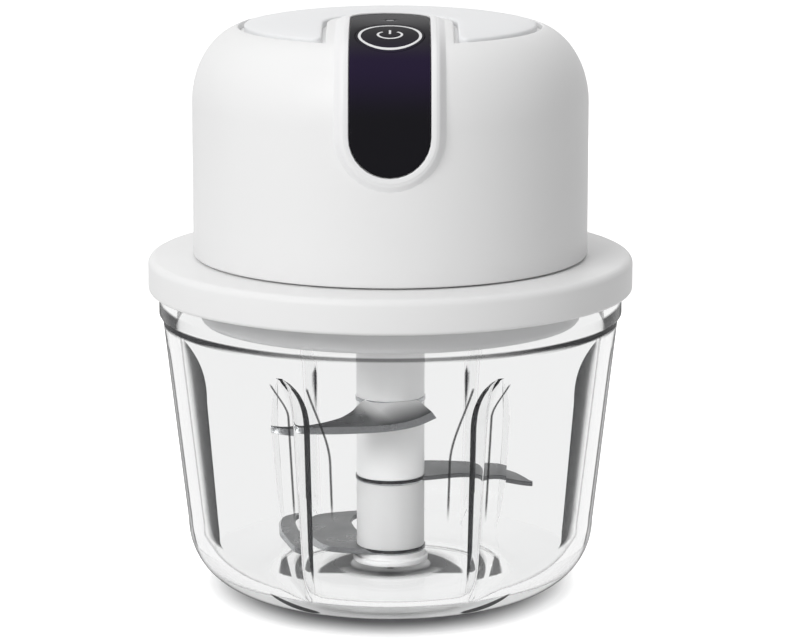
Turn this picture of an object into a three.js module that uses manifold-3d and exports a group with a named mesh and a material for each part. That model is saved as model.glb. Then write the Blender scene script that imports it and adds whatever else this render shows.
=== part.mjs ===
// A small cordless food chopper: a clear ribbed bowl, a three-blade cutter that turns on a steel
// pin in the bowl, and a white motor head whose wide lid sits over the bowl's rim.
// Millimetres, +Z up, front towards -Y, origin at the middle of the bowl's underside.
import * as THREE from 'three';
import Module from 'manifold-3d';
import { mergeVertices } from 'three/addons/utils/BufferGeometryUtils.js';

const wasm = await Module();
wasm.setup();

// Shared clearances
const seatGap = 0.3;
const runningGap = 0.15;
const slideGap = 0.25;
const fitGap = 0.1;
const overrun = 2;
const weldDistance = 0.0001;

// Facet counts and steps along curves
const bigFacets = 36;
const midFacets = 20;
const smallFacets = 10;
const hexFacets = 6;
const edgeSteps = 2;
const cornerSteps = 4;
const crownSteps = 4;
const shoulderSteps = 6;
const noseSteps = 4;
const bladeSteps = 13;
const arcSteps = 6;
const pillEndSteps = 5;
const pillRunSteps = 9;
const bisectSteps = 40;

// Bowl
const bowlHeight = 63.5;
const bowlRimRadius = 45.9;
const bowlBandHeight = 8.9;
const bowlBandStep = 0.7;
const bowlTaper = 4.7;
const bowlCornerRadius = 13;
const bowlWall = 2.8;
const bowlFloor = 2.2;
const bowlEdgeRadius = 0.8;
const puntDepth = 1;
const puntInset = 6.5;
const bossRadius = 8;
const bossHeight = 0.8;

// Ribs that stand in from the bowl's wall: four deep ones, and a shallow one at each side
const deepRibAngles = [60, 120, 240, 300];
const ribReach = 10.3;
const ribLean = 1.2;
const sideRibAngles = [0, 180];
const sideRibReach = 5.3;
const sideRibLean = 1.7;
const sideRibFootLift = 2.6;
const ribTopDrop = 4.6;
const ribNoseHeight = 13;
const ribRidgeHalfWidth = 0.8;
const ribRootHalfWidth = 4.4;
const ribBury = 0.3;
const ribFlareShares = [0, 0.45, 0.75, 1];
const ribFootShares = [0, 0.15, 0.35, 0.65, 1];

// Pin and loose bush that the cutter turns on
const pinRadius = 2.5;
const pinBury = 1.6;
const pinLength = 12.4;
const pinTip = 0.9;
const bushWall = 0.9;
const bushLength = 12.6;
const bushFlangeRadius = 5.2;
const bushFlangeHeight = 0.8;
const bushEndRoom = 0.5;

// Cutter hub: a keyed core with segments and blades stacked on it
const hubRadius = 6.8;
const hubCollarRadius = 7.5;
const hubCollarHeight = 1.1;
const hubFootHeight = 2.3;
const lowerSpacerShare = 0.46875;
const hubHeadHeight = 15.7;
const hubTopEdge = 0.6;
const hubTopGap = 0.6;
const coreRadius = 5.2;
const coreFlat = 4.6;
const coreHeadDepth = 4.6;

// Blades: turned to their own heading round the hub, with tilts away from flat
const bladeThickness = 0.9;
const bladeTipGap = 1.3;
const bladeRingProud = 0.2;
const bladeBevel = 2;
const bladeEdge = 0.2;
const bladeBendWidth = 5;
const bladeTipShare = 0.6;
const upperBlade = {
  heading: 214,
  roll: -10,
  droop: -4,
  tipDrop: 1.2,
  cuttingShares: [[-0.09, 0.43], [0.105, 0.478], [0.315, 0.46], [0.56, 0.363], [0.76, 0.22],
    [0.89, 0.075], [0.95, -0.03]],
  backShares: [[-0.035, 0.14], [0.14, 0.02], [0.27, 0.05], [0.36, 0.092], [0.53, 0.165],
    [0.67, 0.165], [0.79, 0.11], [0.94, -0.05]],
};
const middleBlade = {
  heading: 0,
  roll: 3,
  droop: 0,
  tipDrop: 1.5,
  cuttingShares: [[0.07, 0.33], [0.23, 0.353], [0.51, 0.332], [0.69, 0.28], [0.86, 0.221],
    [0.948, 0.114], [0.99, 0.014]],
  backShares: [[0.07, -0.15], [0.242, -0.087], [0.484, 0], [0.692, -0.028], [0.858, -0.035],
    [0.985, -0.04]],
};
const lowerBlade = {
  heading: 0,
  roll: 0,
  droop: 0,
  tipDrop: 0,
  cuttingShares: [[-0.1, -0.225], [-0.29, -0.185], [-0.47, -0.115], [-0.56, -0.01], [-0.64, 0.168],
    [-0.71, 0.378], [-0.63, 0.77], [-0.385, 0.892], [-0.2, 0.93], [0, 0.91]],
  backShares: [[-0.02, 0.1], [-0.13, 0.13], [-0.175, 0.158], [-0.2, 0.24], [-0.245, 0.38],
    [-0.27, 0.5], [-0.283, 0.612], [-0.245, 0.77], [-0.14, 0.84], [0, 0.885]],
};

// Lid: a wide flange, a skirt round the rim and a hollow plug inside the rim
const lidOverhang = 2.1;
const lidPlate = 3.1;
const lidSkirtDrop = 3.8;
const lidSkirtGap = 0.4;
const lidEdgeRadius = 1.5;
const lidFootEdge = 0.8;
const plugRoom = 4.6;
const plugWall = 2.75;
const plugDrop = 9.3;
const plugFloor = 2;
const plugEdge = 0.8;
const spigotHeight = 2.6;
const spigotWall = 1.3;
const sealHeight = 3;
const sealBody = 2.4;
const sealLip = 0.7;
const cellCollarHeight = 6;
const cellCollarWall = 1.2;

// Motor head shell and its top cap
const shellWall = 2.4;
const shellFootEdge = 0.4;
const shoulderWidth = 12;
const shoulderHeight = 15.4;
const wallHeight = 30.1;
const ceilingWall = 2;
const crownRise = 1.7;
const crownPower = 4.9;
const capSeatInset = 9.25;
const capGroove = 1.1;
const capThickness = 2.4;
const capEdge = 0.5;
const capCornerRadius = 1.5;
const notchHalfWidth = 13.4;
const notchBack = 8.6;

// Control strip, its raised border, the key and the lamp
const stripHalfWidth = 7.6;
const stripBackRadius = 7.6;
const stripFrontDrop = 1.3;
const stripThickness = 1.2;
const stripProud = 0.6;
const stripEdge = 0.2;
const borderHalfWidth = 9.1;
const borderProud = 0.8;
const borderFlare = 1.3;
const borderDrop = 1.45;
const borderBury = 1.8;
const keyRadius = 6.55;
const keyInset = 3.55;
const keyThickness = 1.8;
const keyTravel = 0.8;
const keyStemRadius = 1.9;
const keyStemLength = 5.6;
const lampRadius = 0.8;
const lampSetback = 14.7;
const lampLength = 3.4;

// Motor
const motorRadius = 13.9;
const motorLength = 31;
const motorWall = 1;
const motorEndCap = 2.2;
const magnetThickness = 1.6;
const magnetReach = 70;
const airGap = 0.6;
const stackHeight = 16;
const stackOffset = 6;
const poleCount = 3;
const poleHalfReach = 48;
const poleNeckHalfWidth = 2.2;
const poleShoe = 1.3;
const poleHubRadius = 3.6;
const windingOverhang = 2.2;
const windingWidth = 2;
const windingInnerRadius = 4;
const commutatorRadius = 3.2;
const commutatorHeight = 5;
const brushLength = 6;
const brushWidth = 3;
const brushHeight = 2;
const shaftRadius = 1.6;
const shaftTail = 1.5;
const bearingRadius = 3.4;
const bearingHeight = 2.4;
const bearingBossWall = 1;
const mountRadius = 15.6;
const mountPlate = 2;
const mountLift = 2.5;
const mountRingWidth = 1.6;
const mountHoleRadius = 5.4;
const motorScrewSpread = 9.8;
const motorScrewLength = 4.2;
const motorScrewHeadHeight = 1.4;

// Drive coupler, the seal round its neck and the hex socket in the hub
const hexAcross = 7;
const hexDepth = 8.3;
const hexSocketGap = 0.3;
const couplerTip = 0.7;
const couplerNeckRadius = 4.2;
const couplerNeckHeight = 4.2;
const couplerBoreDepth = 8;
const sealRingWall = 1.5;
const sealFlangeRadius = 6.8;
const sealFlangeHeight = 0.8;

// Cells, boards, charging socket and its cover
const cellHeight = 33;
const cellGap = 3.6;
const cellWallGap = 1.35;
const cellCapRadius = 2.6;
const cellCapHeight = 0.8;
const cellEdge = 0.6;
const holderThickness = 3;
const holderRim = 2.2;
const holderLift = 23.2;
const boardThickness = 1.6;
const mainBoardWidth = 26;
const mainBoardGap = 1.55;
const mainBoardDepth = 16;
const boardPostInset = 4;
const postRadius = 2.2;
const socketWidth = 9;
const socketHeight = 3.3;
const socketDepth = 7.3;
const socketWall = 0.35;
const socketTongueWidth = 6.6;
const socketTongueHeight = 0.7;
const socketInset = 0.6;
const portHalfHeight = 3.4;
const portWidth = 12.6;
const portCorner = 2.4;
const coverHalfHeight = 4.4;
const coverWidth = 15;
const coverCorner = 3;
const coverThickness = 1.5;
const coverProud = 0.3;
const coverNub = 1.2;
const coverNubInset = 0.7;
const coverPocketGap = 0.35;
const keyBoardWidth = 22;
const keyBoardDepth = 15;
const switchSide = 6;
const switchHeight = 3.4;
const switchButtonRadius = 1.7;
const switchButtonHeight = 0.9;
const keyPostSpread = 8;
const keyPostBury = 2;

// Screws that hold the lid to the shell
const screwCount = 4;
const screwInset = 4.05;
const screwBossRadius = 3.6;
const screwBossHeight = 12.8;
const screwWebWidth = 3;
const screwRadius = 1.4;
const screwHeadRadius = 2.7;
const screwHeadHeight = 1.7;
const screwHeadFit = 0.4;
const screwLength = 12;
const screwTip = 0.8;
const padRadius = 4.5;
const padHeight = 2.5;

// Places that follow from the sizes above
const bandBottom = bowlHeight - bowlBandHeight;
const bandRadius = bowlRimRadius - bowlBandStep;
const innerRimRadius = bandRadius - bowlWall;
const bowlWallRadius = bandRadius - bowlTaper;
const puntRadius = bowlWallRadius - bowlCornerRadius - puntInset;
const ribRidgeFootRadius = bowlWallRadius - ribReach;
const ribTop = bandBottom - ribTopDrop;
const bladeReach = ribRidgeFootRadius - bladeTipGap;
const floorTop = puntDepth + bowlFloor;
const bossTop = floorTop + bossHeight;
const pinBottom = bossTop - pinBury;
const bushBottom = bossTop + runningGap;
const bushInnerRadius = pinRadius + runningGap;
const bushOuterRadius = bushInnerRadius + bushWall;
const coreBottom = bushBottom + bushFlangeHeight + runningGap;
const footBottom = bossTop + bushFlangeHeight / 2;
const lidUnderside = bowlHeight + seatGap;
const lidTop = lidUnderside + lidPlate;
const lidRadius = bowlRimRadius + lidOverhang;
const plugBottom = lidUnderside - plugDrop;
const plugRadius = innerRimRadius - plugRoom;
const hubTop = plugBottom - hubTopGap;
const hubHeadBottom = hubTop - hubHeadHeight;
const lowerBladeBottom = footBottom + hubFootHeight;
const spacerRoom = hubHeadBottom - lowerBladeBottom - 3 * bladeThickness;
const lowerSpacerHeight = lowerSpacerShare * spacerRoom;
const upperSpacerHeight = spacerRoom - lowerSpacerHeight;
const middleBladeBottom = lowerBladeBottom + bladeThickness + lowerSpacerHeight;
const upperBladeBottom = middleBladeBottom + bladeThickness + upperSpacerHeight;
const coreTop = hubHeadBottom + coreHeadDepth;
const plugInside = plugBottom + plugFloor;
const spigotTop = lidTop + spigotHeight;
const plugInnerRadius = plugRadius - plugWall;
const spigotRadius = plugInnerRadius + spigotWall;
const shellRadius = spigotRadius + slideGap + shellWall;
const capSeatRadius = shellRadius - capSeatInset;
const keyBackRadius = capSeatRadius - keyInset;
const lampBackRadius = keyBackRadius - lampSetback;
const screwBossOffset = plugInnerRadius - screwInset;
const cellRadius = (plugInnerRadius - cellWallGap - motorRadius - cellGap) / 2;
const cellSpread = motorRadius + cellGap + cellRadius;
const mainBoardFront = plugInnerRadius - mainBoardGap - mainBoardDepth;
const couplerBottom = plugBottom - hexDepth - seatGap;
const couplerTop = plugBottom + couplerNeckHeight - seatGap;
const shellBottom = lidTop + seatGap;
const screwBossTop = shellBottom + screwBossHeight;
const shoulderBottom = shellBottom + wallHeight;
const stripFrontHeight = shoulderBottom - stripFrontDrop;
const shoulderCentre = shellRadius - shoulderWidth;
const crownTop = shoulderHeightAt(capSeatRadius) + crownRise;
const capRadius = capSeatRadius - capGroove;
const capBottom = headHeightAt(capRadius) - capThickness;
const capSeat = capBottom - seatGap;
const ceiling = capSeat - ceilingWall;
const mountBottom = plugInside + mountLift;
const motorBottom = mountBottom + mountPlate + seatGap;
const motorTop = motorBottom + motorLength;
const stackBottom = motorBottom + motorWall + stackOffset;
const stackTop = stackBottom + stackHeight;
const stackRadius = motorRadius - motorWall - seatGap - magnetThickness - airGap;
const endCapBottom = motorTop - motorEndCap;
const cellBottom = plugInside + seatGap;
const holderHeight = cellBottom + holderLift;
const boardBottom = spigotTop + seatGap;
const portHeight = boardBottom + boardThickness + socketHeight / 2;

// Solids: helpers between three.js geometry and manifold-3d
function solid(geometry) {
  const bare = geometry.clone();
  bare.deleteAttribute('normal');
  bare.deleteAttribute('uv');
  const merged = mergeVertices(bare, weldDistance);
  const corners = merged.index.array;
  const kept = [];
  for (let i = 0; i < corners.length; i += 3) {
    const [a, b, c] = corners.slice(i, i + 3);
    if (a !== b && b !== c && c !== a) kept.push(a, b, c);
  }
  const vertProperties = merged.attributes.position.array;
  const made = closedSolid(vertProperties, kept);
  return made.volume() < 0 ? closedSolid(vertProperties, kept.reverse()) : made;
}

function closedSolid(vertProperties, corners) {
  const triVerts = new Uint32Array(corners);
  return new wasm.Manifold(new wasm.Mesh({ numProp: 3, vertProperties, triVerts }));
}

function geometryOf(body) {
  const { vertProperties, triVerts } = body.getMesh();
  const geometry = new THREE.BufferGeometry();
  geometry.setAttribute('position', new THREE.BufferAttribute(vertProperties, 3));
  geometry.setIndex(new THREE.BufferAttribute(triVerts, 1));
  return geometry;
}

function joined(bodies) {
  return bodies.reduce((whole, body) => whole.add(body));
}

function degrees(angle) {
  return THREE.MathUtils.degToRad(angle);
}

// A profile of [radius, height] points, closed on itself, turned round the upright axis
function turned(profile, facets = bigFacets) {
  const points = [...profile, profile[0]].map(([radius, height]) => new THREE.Vector2(radius, height));
  return solid(new THREE.LatheGeometry(points, facets).rotateX(degrees(90)));
}

function rod(radius, bottom, top, facets = smallFacets) {
  return turned([[0, bottom], [radius, bottom], [radius, top], [0, top]], facets);
}

// Corner radius of a facetted bore whose flats stay outside a shaft that turns in it
function boreRadius(radius, facets = smallFacets) {
  return radius / Math.cos(degrees(180 / facets));
}

function sleeve(inner, outer, bottom, top, facets = midFacets) {
  return turned([[inner, bottom], [outer, bottom], [outer, top], [inner, top]], facets);
}

function prism(shape, bottom, top, curveSegments = edgeSteps) {
  const options = { depth: top - bottom, bevelEnabled: false, curveSegments };
  return solid(new THREE.ExtrudeGeometry(shape, options).translate(0, 0, bottom));
}

function block(width, depth, height) {
  return solid(new THREE.BoxGeometry(width, depth, height));
}

function outline(points) {
  return new THREE.Shape(points.map(([x, y]) => new THREE.Vector2(x, y)));
}

function roundedRectangle(width, height, corner) {
  const x = width / 2 - corner;
  const y = height / 2 - corner;
  const shape = new THREE.Shape();
  shape.absarc(x, y, corner, 0, degrees(90), false);
  shape.absarc(-x, y, corner, degrees(90), degrees(180), false);
  shape.absarc(-x, -y, corner, degrees(180), degrees(270), false);
  shape.absarc(x, -y, corner, degrees(270), degrees(360), false);
  return shape;
}

// Points along an arc, round or stretched in height, in a profile's plane
function arc(centreRadius, centreHeight, radius, from, to, steps, rise = radius) {
  const points = [];
  for (let i = 0; i <= steps; i += 1) {
    const angle = degrees(from + (to - from) * i / steps);
    points.push([centreRadius + radius * Math.cos(angle), centreHeight + rise * Math.sin(angle)]);
  }
  return points;
}

// A skin over rings of points, closed at both ends. Points i and last - i of a ring face each other.
function loft(rings) {
  const count = rings[0].length;
  const corners = rings.flat().flatMap((point) => point.toArray());
  const faces = [];
  for (let ring = 0; ring + 1 < rings.length; ring += 1) {
    for (let i = 0; i < count; i += 1) {
      const a = ring * count + i;
      const b = ring * count + (i + 1) % count;
      faces.push(a, b, a + count, b, b + count, a + count);
    }
  }
  const last = (rings.length - 1) * count;
  for (let i = 0; i + 1 < count - 1 - i; i += 1) {
    const j = count - 1 - i;
    faces.push(i + 1, i, j, i + 1, j, j - 1);
    faces.push(last + i, last + i + 1, last + j, last + i + 1, last + j - 1, last + j);
  }
  const geometry = new THREE.BufferGeometry();
  geometry.setAttribute('position', new THREE.Float32BufferAttribute(corners, 3));
  geometry.setIndex(faces);
  return solid(geometry);
}

// Bowl
function bowlWallAt(height) {
  const share = (height - bowlCornerRadius) / (bandBottom - bowlCornerRadius);
  return bowlWallRadius + (bandRadius - bowlWallRadius) * share;
}

function bowlMiddleAt(height) {
  if (height >= bowlCornerRadius) return bowlWallAt(height) - bowlWall / 2;
  const radius = bowlCornerRadius - bowlWall / 2;
  const drop = bowlCornerRadius - height;
  return bowlWallRadius - bowlCornerRadius + Math.sqrt(radius * radius - drop * drop);
}

// A rib whose ridge stands at footRadius where it leaves the floor, and leans out by lean above
function bowlRib(footRadius, lean, footLift) {
  const noseBottom = ribTop - ribNoseHeight;
  const foot = floorTop - ribBury + footLift;
  const ridges = ribFootShares.map((share) => {
    return [footRadius + lean * share ** 2, foot + (noseBottom - foot) * share ** 2];
  });
  for (let i = 1; i <= noseSteps; i += 1) {
    const turn = degrees(90 * i / noseSteps);
    const height = noseBottom + ribNoseHeight * Math.sin(turn);
    const inner = bowlWallAt(height) - bowlWall + ribBury;
    ridges.push([inner - (inner - footRadius - lean) * Math.cos(turn), height]);
  }
  const rings = ridges.map(([ridge, height]) => {
    const depth = bowlMiddleAt(height) - ridge;
    const side = ribFlareShares.map((share) => {
      const half = ribRidgeHalfWidth + (ribRootHalfWidth - ribRidgeHalfWidth) * share ** 3;
      return [ridge + depth * share, half];
    }).reverse();
    const right = side.map(([x, half]) => new THREE.Vector3(x, -half, height));
    const left = side.map(([x, half]) => new THREE.Vector3(x, half, height)).reverse();
    return [...right, ...left];
  });
  return loft(rings);
}

function bowl() {
  const outerCentre = bowlWallRadius - bowlCornerRadius;
  const innerCorner = bowlCornerRadius - bowlWall;
  const innerTurn = floorTop + innerCorner;
  const innerCentre = bowlWallAt(innerTurn) - bowlWall - innerCorner;
  const rimEdge = bowlHeight - bowlEdgeRadius;
  let body = turned([
    [0, puntDepth],
    [puntRadius, puntDepth],
    [puntRadius + puntDepth, 0],
    ...arc(outerCentre, bowlCornerRadius, bowlCornerRadius, -90, 0, cornerSteps),
    [bandRadius, bandBottom],
    [bowlRimRadius, bandBottom + bowlBandStep],
    ...arc(bowlRimRadius - bowlEdgeRadius, rimEdge, bowlEdgeRadius, 0, 90, edgeSteps),
    ...arc(innerRimRadius + bowlEdgeRadius, rimEdge, bowlEdgeRadius, 90, 180, edgeSteps),
    [innerRimRadius, bandBottom],
    ...arc(innerCentre, innerTurn, innerCorner, 0, -90, cornerSteps),
    [bossRadius, floorTop],
    [bossRadius - bossHeight / 2, bossTop],
    [0, bossTop],
  ]);
  const deepRib = bowlRib(ribRidgeFootRadius, ribLean, 0);
  const sideRib = bowlRib(bowlWallRadius - sideRibReach, sideRibLean, sideRibFootLift);
  for (const angle of deepRibAngles) body = body.add(deepRib.rotate([0, 0, angle]));
  for (const angle of sideRibAngles) body = body.add(sideRib.rotate([0, 0, angle]));
  return body.subtract(rod(pinRadius + fitGap, pinBottom, bossTop + overrun));
}

function spindlePin() {
  const top = pinBottom + pinLength;
  return turned([
    [0, pinBottom],
    [pinRadius, pinBottom],
    ...arc(pinRadius - pinTip, top - pinTip, pinTip, 0, 90, edgeSteps),
    [0, top],
  ], smallFacets);
}

function hubBush() {
  const flangeTop = bushBottom + bushFlangeHeight;
  return turned([
    [bushInnerRadius, bushBottom],
    [bushFlangeRadius, bushBottom],
    [bushFlangeRadius, flangeTop],
    [bushOuterRadius, flangeTop],
    [bushOuterRadius, bushBottom + bushLength],
    [bushInnerRadius, bushBottom + bushLength],
  ], smallFacets);
}

// Hub segments share one outside size and one keyed hole
function keyedRod(growth, bottom, top) {
  const across = 2 * (coreRadius + growth);
  const flats = block(across, 2 * (coreFlat + growth), top - bottom + overrun);
  const whole = rod(coreRadius + growth, bottom, top, midFacets);
  return whole.intersect(flats.translate([0, 0, (bottom + top) / 2]));
}

function keyedHole(bottom, top) {
  return keyedRod(fitGap, bottom - overrun, top + overrun);
}

function hubCore() {
  const boreTop = bushBottom + bushLength + bushEndRoom;
  const bore = rod(boreRadius(bushOuterRadius + runningGap), coreBottom - overrun, boreTop);
  return keyedRod(0, coreBottom, coreTop).subtract(bore);
}

function hubFoot() {
  const collarTop = footBottom + hubCollarHeight;
  const body = turned([
    [0, footBottom],
    [hubCollarRadius, footBottom],
    [hubCollarRadius, collarTop],
    [hubRadius, collarTop],
    [hubRadius, lowerBladeBottom],
    [0, lowerBladeBottom],
  ], midFacets);
  const recessRadius = boreRadius(bushFlangeRadius + seatGap, midFacets);
  const recess = rod(recessRadius, footBottom - overrun, coreBottom, midFacets);
  return body.subtract(recess).subtract(keyedHole(footBottom, lowerBladeBottom));
}

function hubSpacer(bottom, height) {
  const top = bottom + height;
  return rod(hubRadius, bottom, top, midFacets).subtract(keyedHole(bottom, top));
}

function hexRod(across, bottom, top, tip = 0) {
  const radius = across / 2 / Math.cos(degrees(180 / hexFacets));
  const profile = [[0, bottom], [radius - tip, bottom], [radius, bottom + tip], [radius, top], [0, top]];
  return turned(profile, hexFacets);
}

function hubHead() {
  const edge = hubTop - hubTopEdge;
  const body = turned([
    [0, hubHeadBottom],
    [hubRadius, hubHeadBottom],
    ...arc(hubRadius - hubTopEdge, edge, hubTopEdge, 0, 90, edgeSteps),
    [0, hubTop],
  ], midFacets);
  const pocket = keyedRod(fitGap, hubHeadBottom - overrun, coreTop + seatGap);
  const socket = hexRod(hexAcross + 2 * hexSocketGap, couplerBottom - seatGap, hubTop + overrun);
  return body.subtract(pocket).subtract(socket);
}

// A ground and bent steel blade on a flat ring: its arm lies between a cutting edge and a back
function blade({ heading, roll, droop, tipDrop, cuttingShares, backShares }, bottom) {
  const curve = (shares) => {
    const points = shares.map(([x, y]) => new THREE.Vector3(x, y, 0).multiplyScalar(bladeReach));
    return new THREE.CatmullRomCurve3(points, false, 'centripetal');
  };
  const cutting = curve(cuttingShares);
  const back = curve(backShares);
  const ringRadius = hubRadius + bladeRingProud;
  const lift = (x, y) => {
    const radius = Math.hypot(x, y);
    const bent = THREE.MathUtils.smoothstep(radius, ringRadius, ringRadius + bladeBendWidth);
    const tip = THREE.MathUtils.smoothstep(radius, bladeTipShare * bladeReach, bladeReach);
    return bent * (x * Math.tan(degrees(droop)) + y * Math.tan(degrees(roll))) - tip * tipDrop;
  };
  const rings = [];
  for (let i = 0; i <= bladeSteps; i += 1) {
    const edge = cutting.getPoint(i / bladeSteps);
    const spine = back.getPoint(i / bladeSteps);
    const width = edge.distanceTo(spine);
    const bevel = Math.min(bladeBevel / width, 1 / 2);
    const rows = [
      [0, bladeEdge],
      [bevel, bladeThickness],
      [(1 + bevel) / 2, bladeThickness],
      [1, bladeThickness],
    ];
    const row = (share, height) => {
      const point = edge.clone().lerp(spine, share);
      return point.setZ(bottom + lift(point.x, point.y) + height);
    };
    const lower = rows.map(([share]) => row(share, 0));
    const upper = rows.map(([share, height]) => row(share, height)).reverse();
    rings.push([...lower, ...upper]);
  }
  const top = bottom + bladeThickness;
  const clear = hubRadius + seatGap;
  return loft(rings)
    .subtract(rod(clear, top, top + bladeReach, midFacets))
    .subtract(rod(clear, bottom - bladeReach, bottom, midFacets))
    .rotate([0, 0, heading])
    .add(rod(ringRadius, bottom, top, midFacets))
    .subtract(keyedHole(bottom, top));
}

// Places on a circle that repeat at the corners of a square
function cornerPlaces(radius) {
  const places = [];
  for (let i = 0; i < screwCount; i += 1) {
    const angle = degrees(45 + 360 * i / screwCount);
    places.push([radius * Math.cos(angle), radius * Math.sin(angle)]);
  }
  return places;
}

// Lid
function lid() {
  const skirtBottom = lidUnderside - lidSkirtDrop;
  const skirtInner = bowlRimRadius + lidSkirtGap;
  const holeRadius = couplerNeckRadius + sealRingWall + fitGap;
  let body = turned([
    [holeRadius, plugBottom],
    ...arc(plugRadius - plugEdge, plugBottom + plugEdge, plugEdge, -90, 0, edgeSteps),
    [plugRadius, lidUnderside],
    [skirtInner, lidUnderside],
    [skirtInner, skirtBottom],
    ...arc(lidRadius - lidFootEdge, skirtBottom + lidFootEdge, lidFootEdge, -90, 0, edgeSteps),
    ...arc(lidRadius - lidEdgeRadius, lidTop - lidEdgeRadius, lidEdgeRadius, 0, 90, edgeSteps),
    [spigotRadius, lidTop],
    [spigotRadius, spigotTop],
    [plugInnerRadius, spigotTop],
    [plugInnerRadius, plugInside],
    [holeRadius, plugInside],
  ]);
  const collarInner = cellRadius + slideGap;
  const floorSide = plugInside - plugFloor / 2;
  const collarTop = cellBottom + cellCollarHeight;
  const collar = sleeve(collarInner, collarInner + cellCollarWall, floorSide, collarTop);
  const room = rod(collarInner, plugInside, collarTop + overrun, midFacets);
  const post = rod(postRadius, floorSide, spigotTop);
  const postX = mainBoardWidth / 2 - boardPostInset;
  const postY = mainBoardFront + boardPostInset;
  for (const side of [-1, 1]) {
    const shift = [side * cellSpread, 0, 0];
    body = body.add(collar.translate(shift)).subtract(room.translate(shift));
    body = body.add(post.translate([side * postX, postY, 0]));
  }
  const seat = plugBottom + screwHeadHeight + screwHeadFit;
  for (const [x, y] of cornerPlaces(screwBossOffset)) {
    const pad = rod(padRadius, floorSide, plugInside + padHeight).translate([x, y, 0]);
    const hole = rod(screwRadius + slideGap, plugBottom - overrun, plugInside + padHeight + overrun);
    const sink = rod(screwHeadRadius + slideGap, plugBottom - overrun, seat);
    body = body.add(pad).subtract(hole.add(sink).translate([x, y, 0]));
  }
  return body;
}

// Soft ring with two lips, round the plug under the lid's flange
function lidSeal() {
  const inner = plugRadius + seatGap;
  const body = inner + sealBody;
  const lip = innerRimRadius - runningGap;
  const bottom = lidUnderside - sealHeight;
  const step = sealHeight / 6;
  return turned([
    [inner, bottom],
    [body, bottom],
    [lip, bottom + step],
    [lip, bottom + step + sealLip],
    [body, bottom + 3 * step],
    [lip, bottom + 4 * step],
    [lip, bottom + 4 * step + sealLip],
    [body, lidUnderside],
    [inner, lidUnderside],
  ]);
}

// The head's outside: a nearly flat crown, an oval shoulder and an upright wall
function shoulderHeightAt(radius) {
  const reach = (radius - shoulderCentre) / shoulderWidth;
  return shoulderBottom + shoulderHeight * Math.sqrt(1 - reach * reach);
}

function headHeightAt(radius) {
  if (radius > capSeatRadius) return shoulderHeightAt(radius);
  return crownTop - crownRise * (radius / capSeatRadius) ** crownPower;
}

function crownPoints(reach) {
  const points = [];
  for (let i = 0; i <= crownSteps; i += 1) {
    const radius = reach * Math.sqrt(i / crownSteps);
    points.push([radius, headHeightAt(radius)]);
  }
  return points;
}

function headOutline() {
  const lean = THREE.MathUtils.radToDeg(Math.acos((capSeatRadius - shoulderCentre) / shoulderWidth));
  const shoulder = arc(shoulderCentre, shoulderBottom, shoulderWidth, lean, 0, shoulderSteps,
    shoulderHeight);
  return [...crownPoints(capSeatRadius), ...shoulder.slice(1)];
}

// The head's front, followed from behind the middle of the crown down to the lid
function frontCurve() {
  const behind = borderHalfWidth;
  const points = [[-behind, headHeightAt(behind)], ...headOutline()];
  const wallSteps = 4;
  for (let i = 1; i <= wallSteps; i += 1) {
    points.push([shellRadius, shoulderBottom - wallHeight * i / wallSteps]);
  }
  return new THREE.SplineCurve(points.map(([radius, height]) => new THREE.Vector2(radius, height)));
}

const front = frontCurve();
const frontLength = front.getLength();

function frontSpot(along) {
  const spot = front.getPointAt(along / frontLength);
  const run = front.getTangentAt(along / frontLength);
  return { spot, normal: new THREE.Vector2(-run.y, run.x) };
}

function frontWhere(isPast) {
  let low = 0;
  let high = frontLength;
  for (let i = 0; i < bisectSteps; i += 1) {
    const middle = (low + high) / 2;
    if (isPast(front.getPointAt(middle / frontLength))) high = middle;
    else low = middle;
  }
  return low;
}

const stripBack = frontWhere((point) => point.x > stripBackRadius);
const stripFront = frontWhere((point) => point.y < stripFrontHeight);
const keyPlace = frontWhere((point) => point.x > keyBackRadius);
const lampPlace = frontWhere((point) => point.x > lampBackRadius);

function onFront(across, along, height) {
  const { spot, normal } = frontSpot(along);
  return new THREE.Vector3(across, -spot.x - normal.x * height, spot.y + normal.y * height);
}

// Stands a body, made round the upright axis, square on the head's front
function standOnFront(body, along) {
  const { spot, normal } = frontSpot(along);
  const tilt = THREE.MathUtils.radToDeg(Math.atan2(normal.x, normal.y));
  return body.rotate([tilt, 0, 0]).translate([0, -spot.x, spot.y]);
}

// A long pad with round ends that follows the head's front. Its edge is a list of [growth, height].
function frontPad(halfWidth, edge) {
  const stations = [];
  for (let i = 0; i < pillEndSteps; i += 1) {
    stations.push({ turn: 90 * (i / pillEndSteps - 1), centre: stripBack });
  }
  for (let i = 0; i <= pillRunSteps; i += 1) {
    stations.push({ turn: 0, centre: stripBack + (stripFront - stripBack) * i / pillRunSteps });
  }
  for (let i = 1; i <= pillEndSteps; i += 1) {
    stations.push({ turn: 90 * i / pillEndSteps, centre: stripFront });
  }
  const rings = stations.map(({ turn, centre }) => {
    const cos = Math.cos(degrees(turn));
    const sin = Math.sin(degrees(turn));
    const spots = edge.map(([growth, height]) => {
      const reach = halfWidth + growth;
      return [reach * cos, centre + reach * sin, height];
    });
    const right = spots.map(([across, along, height]) => onFront(across, along, height));
    const left = spots.map(([across, along, height]) => onFront(-across, along, height)).reverse();
    return [...right, ...left];
  });
  return loft(rings);
}

// The strip of the crown that reaches forward between the cap's horns, seen from above
function notchPlan(halfWidth) {
  const shape = new THREE.Shape();
  shape.absarc(0, -notchBack, halfWidth, 0, degrees(180), false);
  shape.lineTo(-halfWidth, -shellRadius);
  shape.lineTo(halfWidth, -shellRadius);
  return shape;
}

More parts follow.
